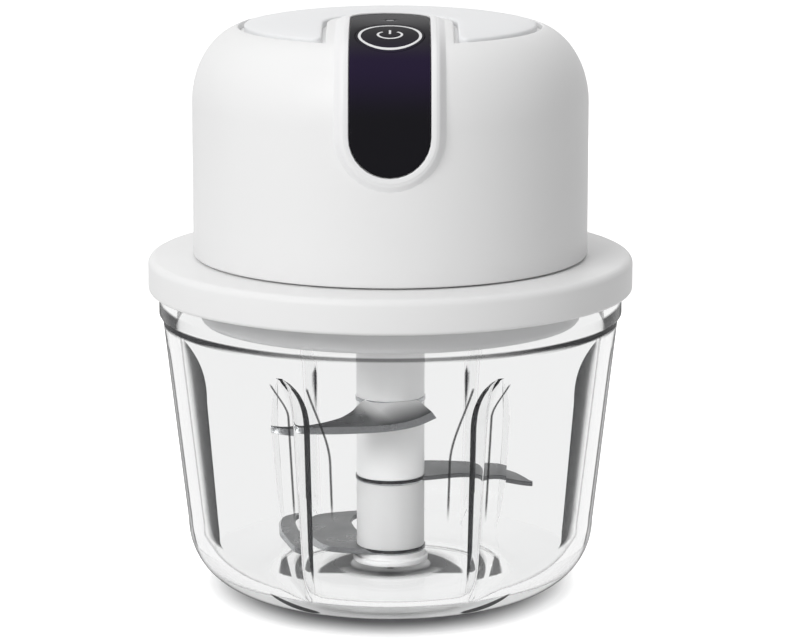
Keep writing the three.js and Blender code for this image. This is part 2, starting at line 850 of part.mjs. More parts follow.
// Heights of the key and what lies under it, measured square to the head's front
const keyUnderside = stripProud - keyThickness;
const keyWellFloor = keyUnderside - keyTravel - seatGap;
const keyStemEnd = keyUnderside - keyStemLength;
const switchTop = keyStemEnd - keyTravel - runningGap;
const switchBottom = switchTop - switchButtonHeight - switchHeight;
const keyBoardTop = switchBottom - seatGap;

// A rounded block through the rear wall at the charging port's height
function rearBlock(width, height, corner, from, to) {
  const made = prism(roundedRectangle(width, height, corner), from, to);
  return made.rotate([-90, 0, 0]).translate([0, 0, portHeight]);
}

function headShell() {
  const innerRadius = shellRadius - shellWall;
  const roof = arc(shoulderCentre, shoulderBottom, shoulderWidth - shellWall, 0, 90, shoulderSteps,
    ceiling - shoulderBottom);
  let body = turned([
    ...headOutline(),
    [shellRadius, shellBottom + shellFootEdge],
    [shellRadius - shellFootEdge, shellBottom],
    [innerRadius, shellBottom],
    ...roof,
    [0, ceiling],
  ]);
  body = body.add(frontPad(borderHalfWidth, [
    [borderFlare, -borderBury],
    [borderFlare, -borderDrop],
    [borderFlare / 2, 0],
    [borderFlare / 4, borderProud * 2 / 3],
    [0, borderProud],
  ]));
  body = body.add(screwBosses()).add(keyPosts());
  const crownClear = crownTop + overrun;
  const plateauPlan = notchPlan(notchHalfWidth - capGroove);
  const plateau = prism(plateauPlan, capSeat - overrun, crownClear, 2 * arcSteps);
  body = body.subtract(rod(capSeatRadius, capSeat, crownClear, bigFacets).subtract(plateau));
  body = body.subtract(frontPad(stripHalfWidth + runningGap, [
    [0, stripProud - stripThickness - seatGap],
    [0, borderProud + overrun],
  ]));
  const well = rod(keyRadius + slideGap, keyWellFloor, borderProud + overrun, midFacets);
  const stemHole = rod(keyStemRadius + slideGap, switchTop, keyWellFloor + overrun);
  const lampHole = rod(lampRadius + fitGap, stripProud - lampLength - seatGap, borderProud + overrun);
  body = body.subtract(standOnFront(well.add(stemHole), keyPlace));
  body = body.subtract(standOnFront(lampHole, lampPlace));
  return body.subtract(rearOpening(innerRadius));
}

function screwBosses() {
  const bottom = plugInside + padHeight + seatGap;
  const webBottom = spigotTop + seatGap;
  const reach = shellRadius - shellWall / 2 - screwBossOffset;
  const web = block(reach, screwWebWidth, screwBossTop - webBottom);
  const tower = rod(screwBossRadius, bottom, screwBossTop);
  const boreTop = plugBottom + screwHeadFit + screwHeadHeight + screwLength;
  const bore = rod(screwRadius + fitGap, bottom - overrun, boreTop);
  const whole = tower.translate([screwBossOffset, 0, 0])
    .add(web.translate([screwBossOffset + reach / 2, 0, (webBottom + screwBossTop) / 2]))
    .subtract(bore.translate([screwBossOffset, 0, 0]));
  const bosses = cornerPlaces(screwBossOffset).map(([x, y]) => {
    return whole.rotate([0, 0, THREE.MathUtils.radToDeg(Math.atan2(y, x))]);
  });
  return joined(bosses);
}

function keyPosts() {
  const post = rod(postRadius, keyBoardTop + seatGap, -keyPostBury);
  const posts = [-1, 1].map((side) => post.translate([side * keyPostSpread, 0, 0]));
  return standOnFront(joined(posts), keyPlace);
}

// The pocket that the cover lies in and the port through the rear wall
function rearOpening(innerRadius) {
  const outside = shellRadius + overrun;
  const pocketRadius = shellRadius + coverProud - coverThickness - seatGap;
  const width = coverWidth + 2 * coverPocketGap;
  const height = 2 * (coverHalfHeight + coverPocketGap);
  const floor = rod(pocketRadius, portHeight - height, portHeight + height, bigFacets);
  const pocket = rearBlock(width, height, coverCorner, innerRadius / 2, outside).subtract(floor);
  return pocket.add(rearBlock(portWidth, 2 * portHalfHeight, portCorner, innerRadius - overrun, outside));
}

function usbCover() {
  const inner = shellRadius + coverProud - coverThickness;
  const height = 2 * coverHalfHeight;
  const skin = sleeve(inner, shellRadius + coverProud, portHeight - height, portHeight + height, bigFacets);
  const flap = rearBlock(coverWidth, height, coverCorner, inner / 2, shellRadius + overrun).intersect(skin);
  const nubWidth = portWidth - 2 * coverNubInset;
  const nubHeight = 2 * (portHalfHeight - coverNubInset);
  const nub = rearBlock(nubWidth, nubHeight, portCorner, inner - coverNub, inner + coverThickness / 2);
  return flap.add(nub);
}

// What is cut from the cap where the control strip passes, with its two horns rounded
function capCut() {
  const cornerX = notchHalfWidth + capCornerRadius;
  const cornerY = -Math.sqrt((capRadius - capCornerRadius) ** 2 - cornerX ** 2);
  const lean = THREE.MathUtils.radToDeg(Math.atan2(-cornerY, cornerX));
  const right = arc(cornerX, cornerY, capCornerRadius, 180, 360 - lean, edgeSteps);
  const left = right.map(([x, y]) => [-x, y]).reverse();
  const back = arc(0, -notchBack, notchHalfWidth, 180, 0, 2 * arcSteps);
  const far = -shellRadius;
  return outline([...left, ...back, ...right, [shellRadius / 2, far], [-shellRadius / 2, far]]);
}

// The round cap on the crown
function topCap() {
  const rim = capRadius - capEdge;
  const disc = turned([
    ...crownPoints(rim),
    [capRadius, headHeightAt(rim) - capEdge],
    [capRadius, capBottom],
    [0, capBottom],
  ]);
  return disc.subtract(prism(capCut(), capBottom - overrun, crownTop + overrun));
}

function controlStrip() {
  const pad = frontPad(stripHalfWidth, [
    [0, stripProud - stripThickness],
    [0, stripProud - stripEdge],
    [-stripEdge, stripProud],
  ]);
  const keyHole = rod(keyRadius + slideGap, keyWellFloor, borderProud + overrun, midFacets);
  const lampHole = rod(lampRadius + fitGap, stripProud - lampLength, borderProud + overrun);
  return pad.subtract(standOnFront(keyHole, keyPlace)).subtract(standOnFront(lampHole, lampPlace));
}

// A round key whose face continues the strip's
function powerKey() {
  const disc = rod(keyRadius, keyUnderside, stripProud + overrun, midFacets);
  const stem = rod(keyStemRadius, keyStemEnd, stripProud);
  const body = standOnFront(disc.add(stem), keyPlace);
  return body.intersect(frontPad(stripHalfWidth, [[0, keyStemEnd - overrun], [0, stripProud]]));
}

function lampLens() {
  return standOnFront(rod(lampRadius, stripProud - lampLength, stripProud), lampPlace);
}

function switchBoard() {
  const board = block(keyBoardWidth, keyBoardDepth, boardThickness);
  const shift = keyBoardDepth / 2 - switchSide;
  return standOnFront(board.translate([0, shift, keyBoardTop - boardThickness / 2]), keyPlace);
}

function tactSwitch() {
  const middle = switchBottom + switchHeight / 2;
  const body = block(switchSide, switchSide, switchHeight).translate([0, 0, middle]);
  const button = rod(switchButtonRadius, middle, switchTop);
  return standOnFront(body.add(button), keyPlace);
}

// Motor
function motorCan() {
  const hole = bearingRadius + fitGap;
  const inner = motorRadius - motorWall;
  const boss = hole + bearingBossWall;
  const body = turned([
    [hole, motorBottom],
    [motorRadius, motorBottom],
    [motorRadius, endCapBottom],
    [inner, endCapBottom],
    [inner, motorBottom + motorWall],
    [boss, motorBottom + motorWall],
    [boss, motorBottom + bearingHeight],
    [hole, motorBottom + bearingHeight],
  ], midFacets);
  return body.subtract(motorScrewHoles());
}

function motorScrewHoles() {
  const hole = rod(screwRadius + fitGap, mountBottom - overrun, motorBottom + motorWall + overrun);
  return joined([-1, 1].map((side) => hole.translate([side * motorScrewSpread, 0, 0])));
}

function motorEndCapPiece() {
  return sleeve(bearingRadius + fitGap, motorRadius, endCapBottom, motorTop);
}

function motorBearing(bottom) {
  return sleeve(shaftRadius + fitGap, bearingRadius, bottom, bottom + bearingHeight, smallFacets);
}

function motorMagnet(side) {
  const outer = motorRadius - motorWall - seatGap;
  const middle = side > 0 ? 0 : 180;
  const shape = new THREE.Shape();
  const from = degrees(middle - magnetReach);
  const to = degrees(middle + magnetReach);
  shape.absarc(0, 0, outer, from, to, false);
  shape.absarc(0, 0, outer - magnetThickness, to, from, true);
  return prism(shape, stackBottom - motorWall, stackTop + motorWall, arcSteps);
}

function motorMount() {
  const ringTop = mountBottom + mountPlate / 2;
  const plate = sleeve(mountHoleRadius, mountRadius, mountBottom, mountBottom + mountPlate);
  const ring = sleeve(mountRadius - mountRingWidth, mountRadius, plugInside + seatGap, ringTop);
  return plate.add(ring).subtract(motorScrewHoles());
}

function screw(bottom, headHeight, length) {
  const neck = bottom + headHeight;
  const top = neck + length;
  return turned([
    [0, bottom],
    [screwHeadRadius, bottom],
    [screwHeadRadius, neck],
    [screwRadius, neck],
    [screwRadius, top - screwTip],
    [screwRadius / 2, top],
    [0, top],
  ], smallFacets);
}

function motorScrew(side) {
  const body = screw(mountBottom - motorScrewHeadHeight, motorScrewHeadHeight, motorScrewLength);
  return body.translate([side * motorScrewSpread, 0, 0]);
}

function lidScrew([x, y]) {
  return screw(plugBottom + screwHeadFit, screwHeadHeight, screwLength - seatGap).translate([x, y, 0]);
}

function motorShaft() {
  return rod(shaftRadius, couplerTop - couplerBoreDepth, motorTop + shaftTail);
}

// Laminated core: one T-shaped pole for each winding, round a bored hub
function armatureCore() {
  const shoe = stackRadius - poleShoe;
  const points = [];
  for (let i = 0; i < poleCount; i += 1) {
    const heading = 360 * i / poleCount;
    const at = (radius, angle) => {
      const turn = degrees(heading + angle);
      return [radius * Math.cos(turn), radius * Math.sin(turn)];
    };
    const neckAngle = (radius) => THREE.MathUtils.radToDeg(Math.asin(poleNeckHalfWidth / radius));
    points.push(at(poleHubRadius, -neckAngle(poleHubRadius)), at(shoe, -neckAngle(shoe)));
    points.push(at(shoe, -poleHalfReach));
    for (let k = 0; k <= cornerSteps; k += 1) {
      points.push(at(stackRadius, poleHalfReach * (2 * k / cornerSteps - 1)));
    }
    points.push(at(shoe, poleHalfReach));
    points.push(at(shoe, neckAngle(shoe)), at(poleHubRadius, neckAngle(poleHubRadius)));
  }
  const bore = rod(shaftRadius + fitGap, stackBottom - overrun, stackTop + overrun);
  return prism(outline(points), stackBottom, stackTop).subtract(bore);
}

// How far out the underside of a pole's shoe lies, at a distance across from the pole's middle
function shoeUndersideAt(across) {
  const shoe = stackRadius - poleShoe;
  const near = Math.sqrt(shoe ** 2 - poleNeckHalfWidth ** 2);
  const far = shoe * Math.cos(degrees(poleHalfReach));
  const farAcross = shoe * Math.sin(degrees(poleHalfReach));
  return near + (far - near) * (across - poleNeckHalfWidth) / (farAcross - poleNeckHalfWidth);
}

function winding(index) {
  const inside = poleNeckHalfWidth + fitGap;
  const length = shoeUndersideAt(inside + windingWidth) - fitGap - windingInnerRadius;
  const hole = block(length + overrun, 2 * inside, stackHeight + 2 * fitGap);
  const coil = block(length, 2 * (inside + windingWidth), stackHeight + 2 * windingOverhang);
  const place = [windingInnerRadius + length / 2, 0, (stackBottom + stackTop) / 2];
  return coil.subtract(hole).translate(place).rotate([0, 0, 360 * index / poleCount]);
}

function commutator() {
  const bottom = stackTop + seatGap;
  return sleeve(shaftRadius + fitGap, commutatorRadius, bottom, bottom + commutatorHeight, smallFacets);
}

function brush(side) {
  const body = block(brushWidth, brushLength, brushHeight);
  const middle = commutatorRadius + runningGap + brushLength / 2;
  return body.translate([0, side * middle, endCapBottom - seatGap - brushHeight / 2]);
}

function driveCoupler() {
  const shoulder = plugBottom - seatGap;
  const neck = rod(couplerNeckRadius, shoulder, couplerTop, midFacets);
  const drive = hexRod(hexAcross, couplerBottom, shoulder + couplerTip, couplerTip);
  const bore = rod(shaftRadius + fitGap, couplerTop - couplerBoreDepth - seatGap, couplerTop + overrun);
  return drive.add(neck).subtract(bore);
}

function shaftSeal() {
  const inner = couplerNeckRadius + runningGap;
  const outer = couplerNeckRadius + sealRingWall;
  const flangeTop = plugInside + sealFlangeHeight;
  return turned([
    [inner, plugBottom],
    [outer, plugBottom],
    [outer, plugInside],
    [sealFlangeRadius, plugInside],
    [sealFlangeRadius, flangeTop],
    [inner, flangeTop],
  ], midFacets);
}

// Cells and boards
function batteryCell(side) {
  const top = cellBottom + cellHeight;
  const body = turned([
    [0, cellBottom],
    [cellRadius, cellBottom],
    [cellRadius, top - cellEdge],
    [cellRadius - cellEdge, top],
    [cellCapRadius, top],
    [cellCapRadius, top + cellCapHeight],
    [0, top + cellCapHeight],
  ], midFacets);
  return body.translate([side * cellSpread, 0, 0]);
}

// A band that ties both cells to the motor can
function cellHolder() {
  const bottom = holderHeight;
  const top = bottom + holderThickness;
  const cellHole = cellRadius + slideGap;
  const canHole = motorRadius + slideGap;
  let body = rod(canHole + holderRim, bottom, top, midFacets);
  let holes = rod(canHole, bottom - overrun, top + overrun, midFacets);
  const ring = rod(cellHole + holderRim, bottom, top, midFacets);
  const hole = rod(cellHole, bottom - overrun, top + overrun, midFacets);
  for (const side of [-1, 1]) {
    const shift = [side * cellSpread, 0, 0];
    body = body.add(ring.translate(shift));
    holes = holes.add(hole.translate(shift));
  }
  return body.subtract(holes);
}

function mainBoard() {
  const board = block(mainBoardWidth, mainBoardDepth, boardThickness);
  return board.translate([0, mainBoardFront + mainBoardDepth / 2, boardBottom + boardThickness / 2]);
}

function usbSocket() {
  const mouth = shellRadius - shellWall - socketInset;
  const outer = roundedRectangle(socketWidth, socketHeight, socketHeight / 3);
  const innerHeight = socketHeight - 2 * socketWall;
  const inner = roundedRectangle(socketWidth - 2 * socketWall, innerHeight, innerHeight / 3);
  const can = prism(outer, mouth - socketDepth, mouth);
  const hollow = prism(inner, mouth - socketDepth + 2 * socketWall, mouth + overrun);
  const tongue = prism(roundedRectangle(socketTongueWidth, socketTongueHeight, socketTongueHeight / 3),
    mouth - socketDepth + socketWall, mouth - 2 * socketWall);
  return can.subtract(hollow).add(tongue).rotate([-90, 0, 0]).translate([0, 0, portHeight]);
}

// Finishes
const clearPlastic = { color: 0xe6ecee, roughness: 0.05, metalness: 0, transparent: true, opacity: 0.3 };
const whitePlastic = { color: 0xf1f1f0, roughness: 0.35, metalness: 0 };
const hubPlastic = { color: 0xdededc, roughness: 0.5, metalness: 0 };
const blackGloss = { color: 0x15131a, roughness: 0.08, metalness: 0 };
const lampPlastic = { color: 0x8a8a8e, roughness: 0.2, metalness: 0 };
const softWhite = { color: 0xe4e4e2, roughness: 0.7, metalness: 0 };
const steel = { color: 0x8d9196, roughness: 0.22, metalness: 1 };
const zincSteel = { color: 0xb4b7ba, roughness: 0.35, metalness: 1 };
const darkIron = { color: 0x4a4c50, roughness: 0.6, metalness: 0.6 };
const magnetGrey = { color: 0x3a3a3c, roughness: 0.7, metalness: 0.2 };
const copper = { color: 0xb8703a, roughness: 0.35, metalness: 1 };
const carbon = { color: 0x262626, roughness: 0.8, metalness: 0 };
const greyNylon = { color: 0x9a9c9e, roughness: 0.55, metalness: 0 };
const cellBlue = { color: 0x3c7fb0, roughness: 0.4, metalness: 0 };
const boardGreen = { color: 0x1f6b43, roughness: 0.5, metalness: 0 };

function piece(name, finish, body) {
  const mesh = new THREE.Mesh(geometryOf(body), new THREE.MeshStandardMaterial(finish));
  mesh.name = name;
  return mesh;
}

function assembly(...pieces) {
  const group = new THREE.Group();
  group.add(...pieces);
  return group;
}

const bowlGroup = assembly(
  piece('bowl', clearPlastic, bowl()),
  piece('spindle_pin', zincSteel, spindlePin()),
);

const cutterGroup = assembly(
  piece('hub_bush', zincSteel, hubBush()),
  piece('hub_core', greyNylon, hubCore()),
  piece('hub_foot', hubPlastic, hubFoot()),
  piece('blade_lower', steel, blade(lowerBlade, lowerBladeBottom)),
  piece('hub_spacer_lower', hubPlastic, hubSpacer(lowerBladeBottom + bladeThickness, lowerSpacerHeight)),
  piece('blade_middle', steel, blade(middleBlade, middleBladeBottom)),
  piece('hub_spacer_upper', hubPlastic, hubSpacer(middleBladeBottom + bladeThickness, upperSpacerHeight)),
  piece('blade_upper', steel, blade(upperBlade, upperBladeBottom)),
  piece('hub_head', hubPlastic, hubHead()),
);

const rotorGroup = assembly(
  piece('motor_shaft', zincSteel, motorShaft()),
  piece('armature_core', darkIron, armatureCore()),
  piece('commutator', copper, commutator()),
  piece('drive_coupler', greyNylon, driveCoupler()),
);
for (let i = 0; i < poleCount; i += 1) {
  rotorGroup.add(piece(`winding_${i + 1}`, copper, winding(i)));
}

const motorGroup = assembly(
  piece('motor_can', zincSteel, motorCan()),
  piece('motor_end_cap', greyNylon, motorEndCapPiece()),
  piece('motor_bearing_lower', zincSteel, motorBearing(motorBottom)),
  piece('motor_bearing_upper', zincSteel, motorBearing(motorTop - bearingHeight)),
  piece('motor_mount', greyNylon, motorMount()),
  piece('shaft_seal', softWhite, shaftSeal()),
  rotorGroup,
);

const headGroup = assembly(
  piece('lid', whitePlastic, lid()),
  piece('lid_seal', softWhite, lidSeal()),
  piece('head_shell', whitePlastic, headShell()),
  piece('top_cap', whitePlastic, topCap()),
  piece('control_strip', blackGloss, controlStrip()),
  piece('power_key', blackGloss, powerKey()),
  piece('lamp_lens', lampPlastic, lampLens()),
  piece('switch_board', boardGreen, switchBoard()),
  piece('tact_switch', carbon, tactSwitch()),
  piece('main_board', boardGreen, mainBoard()),
  piece('usb_socket', zincSteel, usbSocket()),
  piece('usb_cover', softWhite, usbCover()),
  piece('cell_holder', greyNylon, cellHolder()),
  motorGroup,
);

for (const [side, name] of [[-1, 'left'], [1, 'right']]) {
  motorGroup.add(piece(`motor_magnet_${name}`, magnetGrey, motorMagnet(side)));
  motorGroup.add(piece(`motor_screw_${name}`, zincSteel, motorScrew(side)));
  headGroup.add(piece(`battery_cell_${name}`, cellBlue, batteryCell(side)));
}
for (const [side, name] of [[-1, 'front'], [1, 'rear']]) {
  motorGroup.add(piece(`motor_brush_${name}`, carbon, brush(side)));
}
cornerPlaces(screwBossOffset).forEach((place, i) => {
  headGroup.add(piece(`lid_screw_${i + 1}`, zincSteel, lidScrew(place)));
});

export default assembly(bowlGroup, cutterGroup, headGroup);
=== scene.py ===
import functools
import math

import bpy
import numpy as np
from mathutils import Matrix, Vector
from mathutils.geometry import delaunay_2d_cdt

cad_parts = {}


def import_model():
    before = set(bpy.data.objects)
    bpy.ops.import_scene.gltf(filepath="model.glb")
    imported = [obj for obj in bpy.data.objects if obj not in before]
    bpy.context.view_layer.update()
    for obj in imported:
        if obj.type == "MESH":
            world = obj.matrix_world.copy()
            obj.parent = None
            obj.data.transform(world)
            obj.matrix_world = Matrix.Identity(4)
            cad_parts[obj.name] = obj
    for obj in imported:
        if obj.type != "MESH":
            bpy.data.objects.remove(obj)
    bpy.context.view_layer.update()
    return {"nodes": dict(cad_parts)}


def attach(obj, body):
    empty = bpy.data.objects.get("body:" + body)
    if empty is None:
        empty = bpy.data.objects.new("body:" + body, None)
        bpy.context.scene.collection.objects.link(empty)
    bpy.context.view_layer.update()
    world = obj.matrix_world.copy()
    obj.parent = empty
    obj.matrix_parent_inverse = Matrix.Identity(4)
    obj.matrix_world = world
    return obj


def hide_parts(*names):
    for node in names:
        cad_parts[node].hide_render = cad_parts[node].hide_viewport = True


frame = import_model()
MM = 0.001

# Sizes shared with the CAD solids
BOWL_HEIGHT = 63.5
BOWL_RIM = 45.9
BAND_RADIUS = 45.2
BAND_BOTTOM = 54.6
BOWL_WALL_RADIUS = 40.5
BOWL_CORNER = 13.0
BOWL_WALL = 2.8
FOOT_RING = 22.0
FLOOR_TOP = 3.2
HUB = 6.8
HUB_BORE = 5.4
LID_RADIUS = 48.0
LID_UNDER = 63.8
LID_TOP = 66.9
PLUG_BOTTOM = 54.5
PLUG_RADIUS = 37.8
SHELL = 39.0
SHELL_WALL = 2.4
SHELL_BOTTOM = 67.2
SHOULDER_BOTTOM = 97.3
SHOULDER_CENTRE = 27.0
SHOULDER_WIDTH = 12.0
SHOULDER_HEIGHT = 15.4
ROOF_DROP = 4.7
CAP_SEAT_RADIUS = 29.75
CROWN_RISE = 1.7
CROWN_POWER = 4.9
CAP_RADIUS = 28.65
NOTCH = 13.0
PLATEAU = 12.25
SEAM_DEPTH = 1.3
NOTCH_BACK = 8.6
CAP_CORNER = 1.5
STRIP_HALF = 7.6
STRIP_BACK = 7.6
STRIP_FRONT_HEIGHT = 96.0
STRIP_PROUD = 0.6
KEY_RADIUS = 6.55
KEY_BACK = 26.2
LAMP_BACK = 11.5
PORT_HEIGHT = 73.05


# Plane curves
def clamp(t):
    return min(1.0, max(0.0, t))


def smoothstep(t):
    return t * t * (3 - 2 * t)


def arc(cx, cy, radius, start, end, steps, rise=None):
    """Points along an arc, angles in degrees. rise is its upright radius where that differs."""
    rise = radius if rise is None else rise
    angles = np.radians(np.linspace(start, end, steps + 1))
    return [(cx + radius * math.cos(a), cy + rise * math.sin(a)) for a in angles]


def circle(cy, radius, steps):
    return arc(0, cy, radius, 0, 360, steps)[:-1]


def fillet(points, steps=6):
    """A closed line of (x, y, radius) corners, each rounded to its radius."""
    made = []
    for i, (x, y, radius) in enumerate(points):
        if radius <= 0:
            made.append((x, y))
            continue
        here = np.array([x, y], float)
        back = np.array(points[i - 1][:2], float) - here
        ahead = np.array(points[(i + 1) % len(points)][:2], float) - here
        back /= np.linalg.norm(back)
        ahead /= np.linalg.norm(ahead)
        half = math.acos(np.clip(back @ ahead, -1, 1)) / 2
        reach = radius / math.tan(half)
        centre = here + (back + ahead) / np.linalg.norm(back + ahead) * radius / math.sin(half)
        start = here + back * reach - centre
        end = here + ahead * reach - centre
        first = math.atan2(start[1], start[0])
        turn = math.atan2(end[1], end[0]) - first
        turn = (turn + math.pi) % (2 * math.pi) - math.pi
        for k in range(steps + 1):
            a = first + turn * k / steps
            made.append((centre[0] + radius * math.cos(a), centre[1] + radius * math.sin(a)))
    return made


def rounded_rectangle(width, height, corner):
    w, h = width / 2, height / 2
    return fillet([(w, -h, corner), (w, h, corner), (-w, h, corner), (-w, -h, corner)], 8)


def dense(points, spacing):
    """The closed line with points added, so that none lie further apart than spacing."""
    made = []
    for i, (x, y) in enumerate(points):
        nx, ny = points[(i + 1) % len(points)]
        steps = max(1, math.ceil(math.hypot(nx - x, ny - y) / spacing - 1e-6))
        made += [(x + (nx - x) * k / steps, y + (ny - y) * k / steps) for k in range(steps)]
    return made


def inset(points, distance):
    """A closed line, counter-clockwise, moved inwards."""
    p = np.array(points, float)
    ahead = np.roll(p, -1, 0) - p
    ahead /= np.maximum(np.linalg.norm(ahead, axis=1, keepdims=True), 1e-9)
    back = np.roll(ahead, 1, 0)
    normal = np.stack([-(ahead + back)[:, 1], (ahead + back)[:, 0]], 1)
    normal /= np.maximum(np.linalg.norm(normal, axis=1, keepdims=True), 1e-9)
    side = np.stack([-ahead[:, 1], ahead[:, 0]], 1)
    stretch = np.clip((normal * side).sum(1), 0.5, 1)
    return [tuple(q) for q in p + normal * (distance / stretch)[:, None]]


def area_of(points):
    p = np.array(points, float)
    q = np.roll(p, -1, 0)
    return float((p[:, 0] * q[:, 1] - q[:, 0] * p[:, 1]).sum() / 2)


def counter_clockwise(line):
    return line if area_of(line) > 0 else line[::-1]


def inside(points, line):
    """Which points lie inside a closed line."""
    pts = np.array(points, float).reshape(-1, 2)
    poly = np.array(line, float)
    found = np.zeros(len(pts), bool)
    for (x0, y0), (x1, y1) in zip(poly, np.roll(poly, -1, 0)):
        crosses = (y0 > pts[:, 1]) != (y1 > pts[:, 1])
        with np.errstate(divide="ignore", invalid="ignore"):
            at = (x1 - x0) * (pts[:, 1] - y0) / (y1 - y0) + x0
        found ^= crosses & (pts[:, 0] < at)
    return found


def around(segments):
    """Even angles round the axis."""
    return np.linspace(0, 2 * math.pi, segments, endpoint=False)


# Meshes
class Build:
    """Collects the points and faces of closed meshes."""

    def __init__(self):
        self.points = []
        self.faces = []

    def add(self, points):
        start = len(self.points)
        self.points.extend(tuple(p) for p in points)
        return list(range(start, len(self.points)))

    def ring(self, radius, z, turns):
        """A level round row of points."""
        return self.add([(radius * math.cos(a), radius * math.sin(a), z) for a in turns])

    def bridge(self, lower, upper):
        """Faces between two closed rows. They face right of lower's run when upper lies above."""
        for i in range(len(lower)):
            k = (i + 1) % len(lower)
            face = [lower[i], lower[k], upper[k], upper[i]]
            face = [f for n, f in enumerate(face) if f != face[n - 1]]
            if len(face) > 2:
                self.faces.append(face)

    def bridge_all(self, rows, flip=False):
        for first, second in zip(rows, rows[1:]):
            self.bridge(*((second, first) if flip else (first, second)))

    def close(self, row, flip=False):
        """One face over a whole row."""
        self.faces.append(row[::-1] if flip else list(row))

    def merge(self, other, x=0.0, y=0.0):
        """Takes in another build's mesh, moved by x and y."""
        shift = len(self.points)
        self.points += [(px + x, py + y, pz) for px, py, pz in other.points]
        self.faces += [[v + shift for v in face] for face in other.faces]

    def fill(self, loops, place, spacing=None, flip=False):
        """Triangles over a flat region: the first loop is its outside and the rest are holes.
        Each loop is (indices, flat points). place puts a flat point of the inside in space."""
        flat, ids, edges = [], [], []
        for index, line in loops:
            start = len(flat)
            edges += [(start + i, start + (i + 1) % len(line)) for i in range(len(line))]
            flat += line
            ids += index

        def within(points):
            keep = inside(points, loops[0][1])
            for _, line in loops[1:]:
                keep &= ~inside(points, line)
            return keep
        if spacing:
            low, high = np.min(loops[0][1], 0), np.max(loops[0][1], 0)
            columns = np.arange(low[0] + spacing / 2, high[0], spacing)
            rows = np.arange(low[1] + spacing / 2, high[1], spacing * 0.866)
            grid = np.array([(x + (n % 2) * spacing / 2, y)
                             for n, y in enumerate(rows) for x in columns])
            border = np.array(flat)
            grid = [tuple(g) for g in grid[within(grid)]
                    if np.min(np.hypot(*(border - g).T)) > spacing * 0.55]
            ids += self.add([place(x, y) for x, y in grid])
            flat += grid
        found = delaunay_2d_cdt([Vector(q) for q in flat], edges, [], 0, 1e-7)
        first = [group[0] for group in found[3]]
        tris = [[first[v] for v in face] for face in found[2]]
        for t, keep in zip(tris, within([np.mean([flat[v] for v in t], 0) for t in tris])):
            if keep:
                over = (area_of([flat[v] for v in t]) > 0) == flip
                self.faces.append([ids[v] for v in (t[::-1] if over else t)])

    def mesh(self, name):
        data = bpy.data.meshes.new(name)
        data.from_pydata([(x * MM, y * MM, z * MM) for x, y, z in self.points], [], self.faces)
        data.validate()
        data.update()
        return data


def sharpen(data, angle=32):
    data.shade_smooth()
    data.set_sharp_from_angle(angle=math.radians(angle))


def piece(name, body, data, material, replaces=()):
    """Puts a mesh in the scene on its CAD body."""
    obj = bpy.data.objects.new(name, data)
    bpy.context.scene.collection.objects.link(obj)
    data.materials.append(material)
    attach(obj, body)
    if replaces:
        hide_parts(*replaces)
    return obj


def revolve(profile, segments=128):
    """A closed profile of (radius, height), outside counter-clockwise, turned round the axis."""
    build = Build()
    turns = around(segments)
    rows = [build.ring(r, z, turns) if r > 0 else build.add([(0, 0, z)]) * segments
            for r, z in profile]
    for i, row in enumerate(rows):
        k = (i + 1) % len(rows)
        if profile[i][0] > 0 or profile[k][0] > 0:
            build.bridge(row, rows[k])
    return build


def turned(name, body, profile, material, replaces, segments=128):
    data = revolve(profile, segments).mesh(name)
    sharpen(data)
    return piece(name, body, data, material, replaces)


def plate(name, body, loops, place, top, bottom, edge, material, replaces=(), spacing=1.2,
          edge_steps=3, hole_walls=None):
    """A thin plate over a flat outline with holes. place(x, y, height) puts its points in space,
    and hole_walls, where given, does that for the first hole's wall."""
    build = Build()
    rim = [(edge * (1 - math.cos(a)), top - edge * (1 - math.sin(a)))
           for a in np.linspace(0, math.pi / 2, edge_steps + 1)]
    tops, bottoms = [], []
    for i, line in enumerate(loops):
        put = hole_walls if hole_walls and i == 1 else place
        rows = []
        for shift, height in [(0, bottom), *rim]:
            flat = inset(counter_clockwise(line), -shift if i else shift)
            rows.append((build.add([put(x, y, height) for x, y in flat]), flat))
        build.bridge_all([row for row, _ in rows], flip=i > 0)
        tops.append(rows[-1])
        bottoms.append(rows[0])
    build.fill(tops, lambda x, y: place(x, y, top), spacing)
    build.fill(bottoms, lambda x, y: place(x, y, bottom), spacing, flip=True)
    data = build.mesh(name)
    sharpen(data, 40)
    return piece(name, body, data, material, replaces)


def carve(obj, build):
    """Cuts a closed mesh out of a piece."""
    tool = bpy.data.objects.new("cutter_tool", build.mesh("cutter_tool"))
    bpy.context.scene.collection.objects.link(tool)
    cut = obj.modifiers.new("cut", "BOOLEAN")
    cut.operation = "DIFFERENCE"
    cut.solver = "EXACT"
    cut.object = tool
    bpy.context.view_layer.update()
    evaluated = obj.evaluated_get(bpy.context.evaluated_depsgraph_get())
    old, obj.data = obj.data, bpy.data.meshes.new_from_object(evaluated)
    obj.modifiers.clear()
    bpy.data.meshes.remove(old)
    bpy.data.objects.remove(tool)
    obj.data.name = obj.name


def paint(data, name, values):
    """Gives each point of a mesh a value that its material can read."""
    layer = data.attributes.new(name, "FLOAT", "POINT")
    layer.data.foreach_set("value", np.array(values, np.float32))


# The head's outside
def shoulder_height(reach):
    return SHOULDER_BOTTOM + SHOULDER_HEIGHT * math.sqrt(1 - reach * reach)


CROWN_TOP = shoulder_height((CAP_SEAT_RADIUS - SHOULDER_CENTRE) / SHOULDER_WIDTH) + CROWN_RISE


def head_height(radius):
    radius = abs(radius)
    if radius > CAP_SEAT_RADIUS:
        return shoulder_height(min((radius - SHOULDER_CENTRE) / SHOULDER_WIDTH, 1))
    return CROWN_TOP - CROWN_RISE * (radius / CAP_SEAT_RADIUS) ** CROWN_POWER


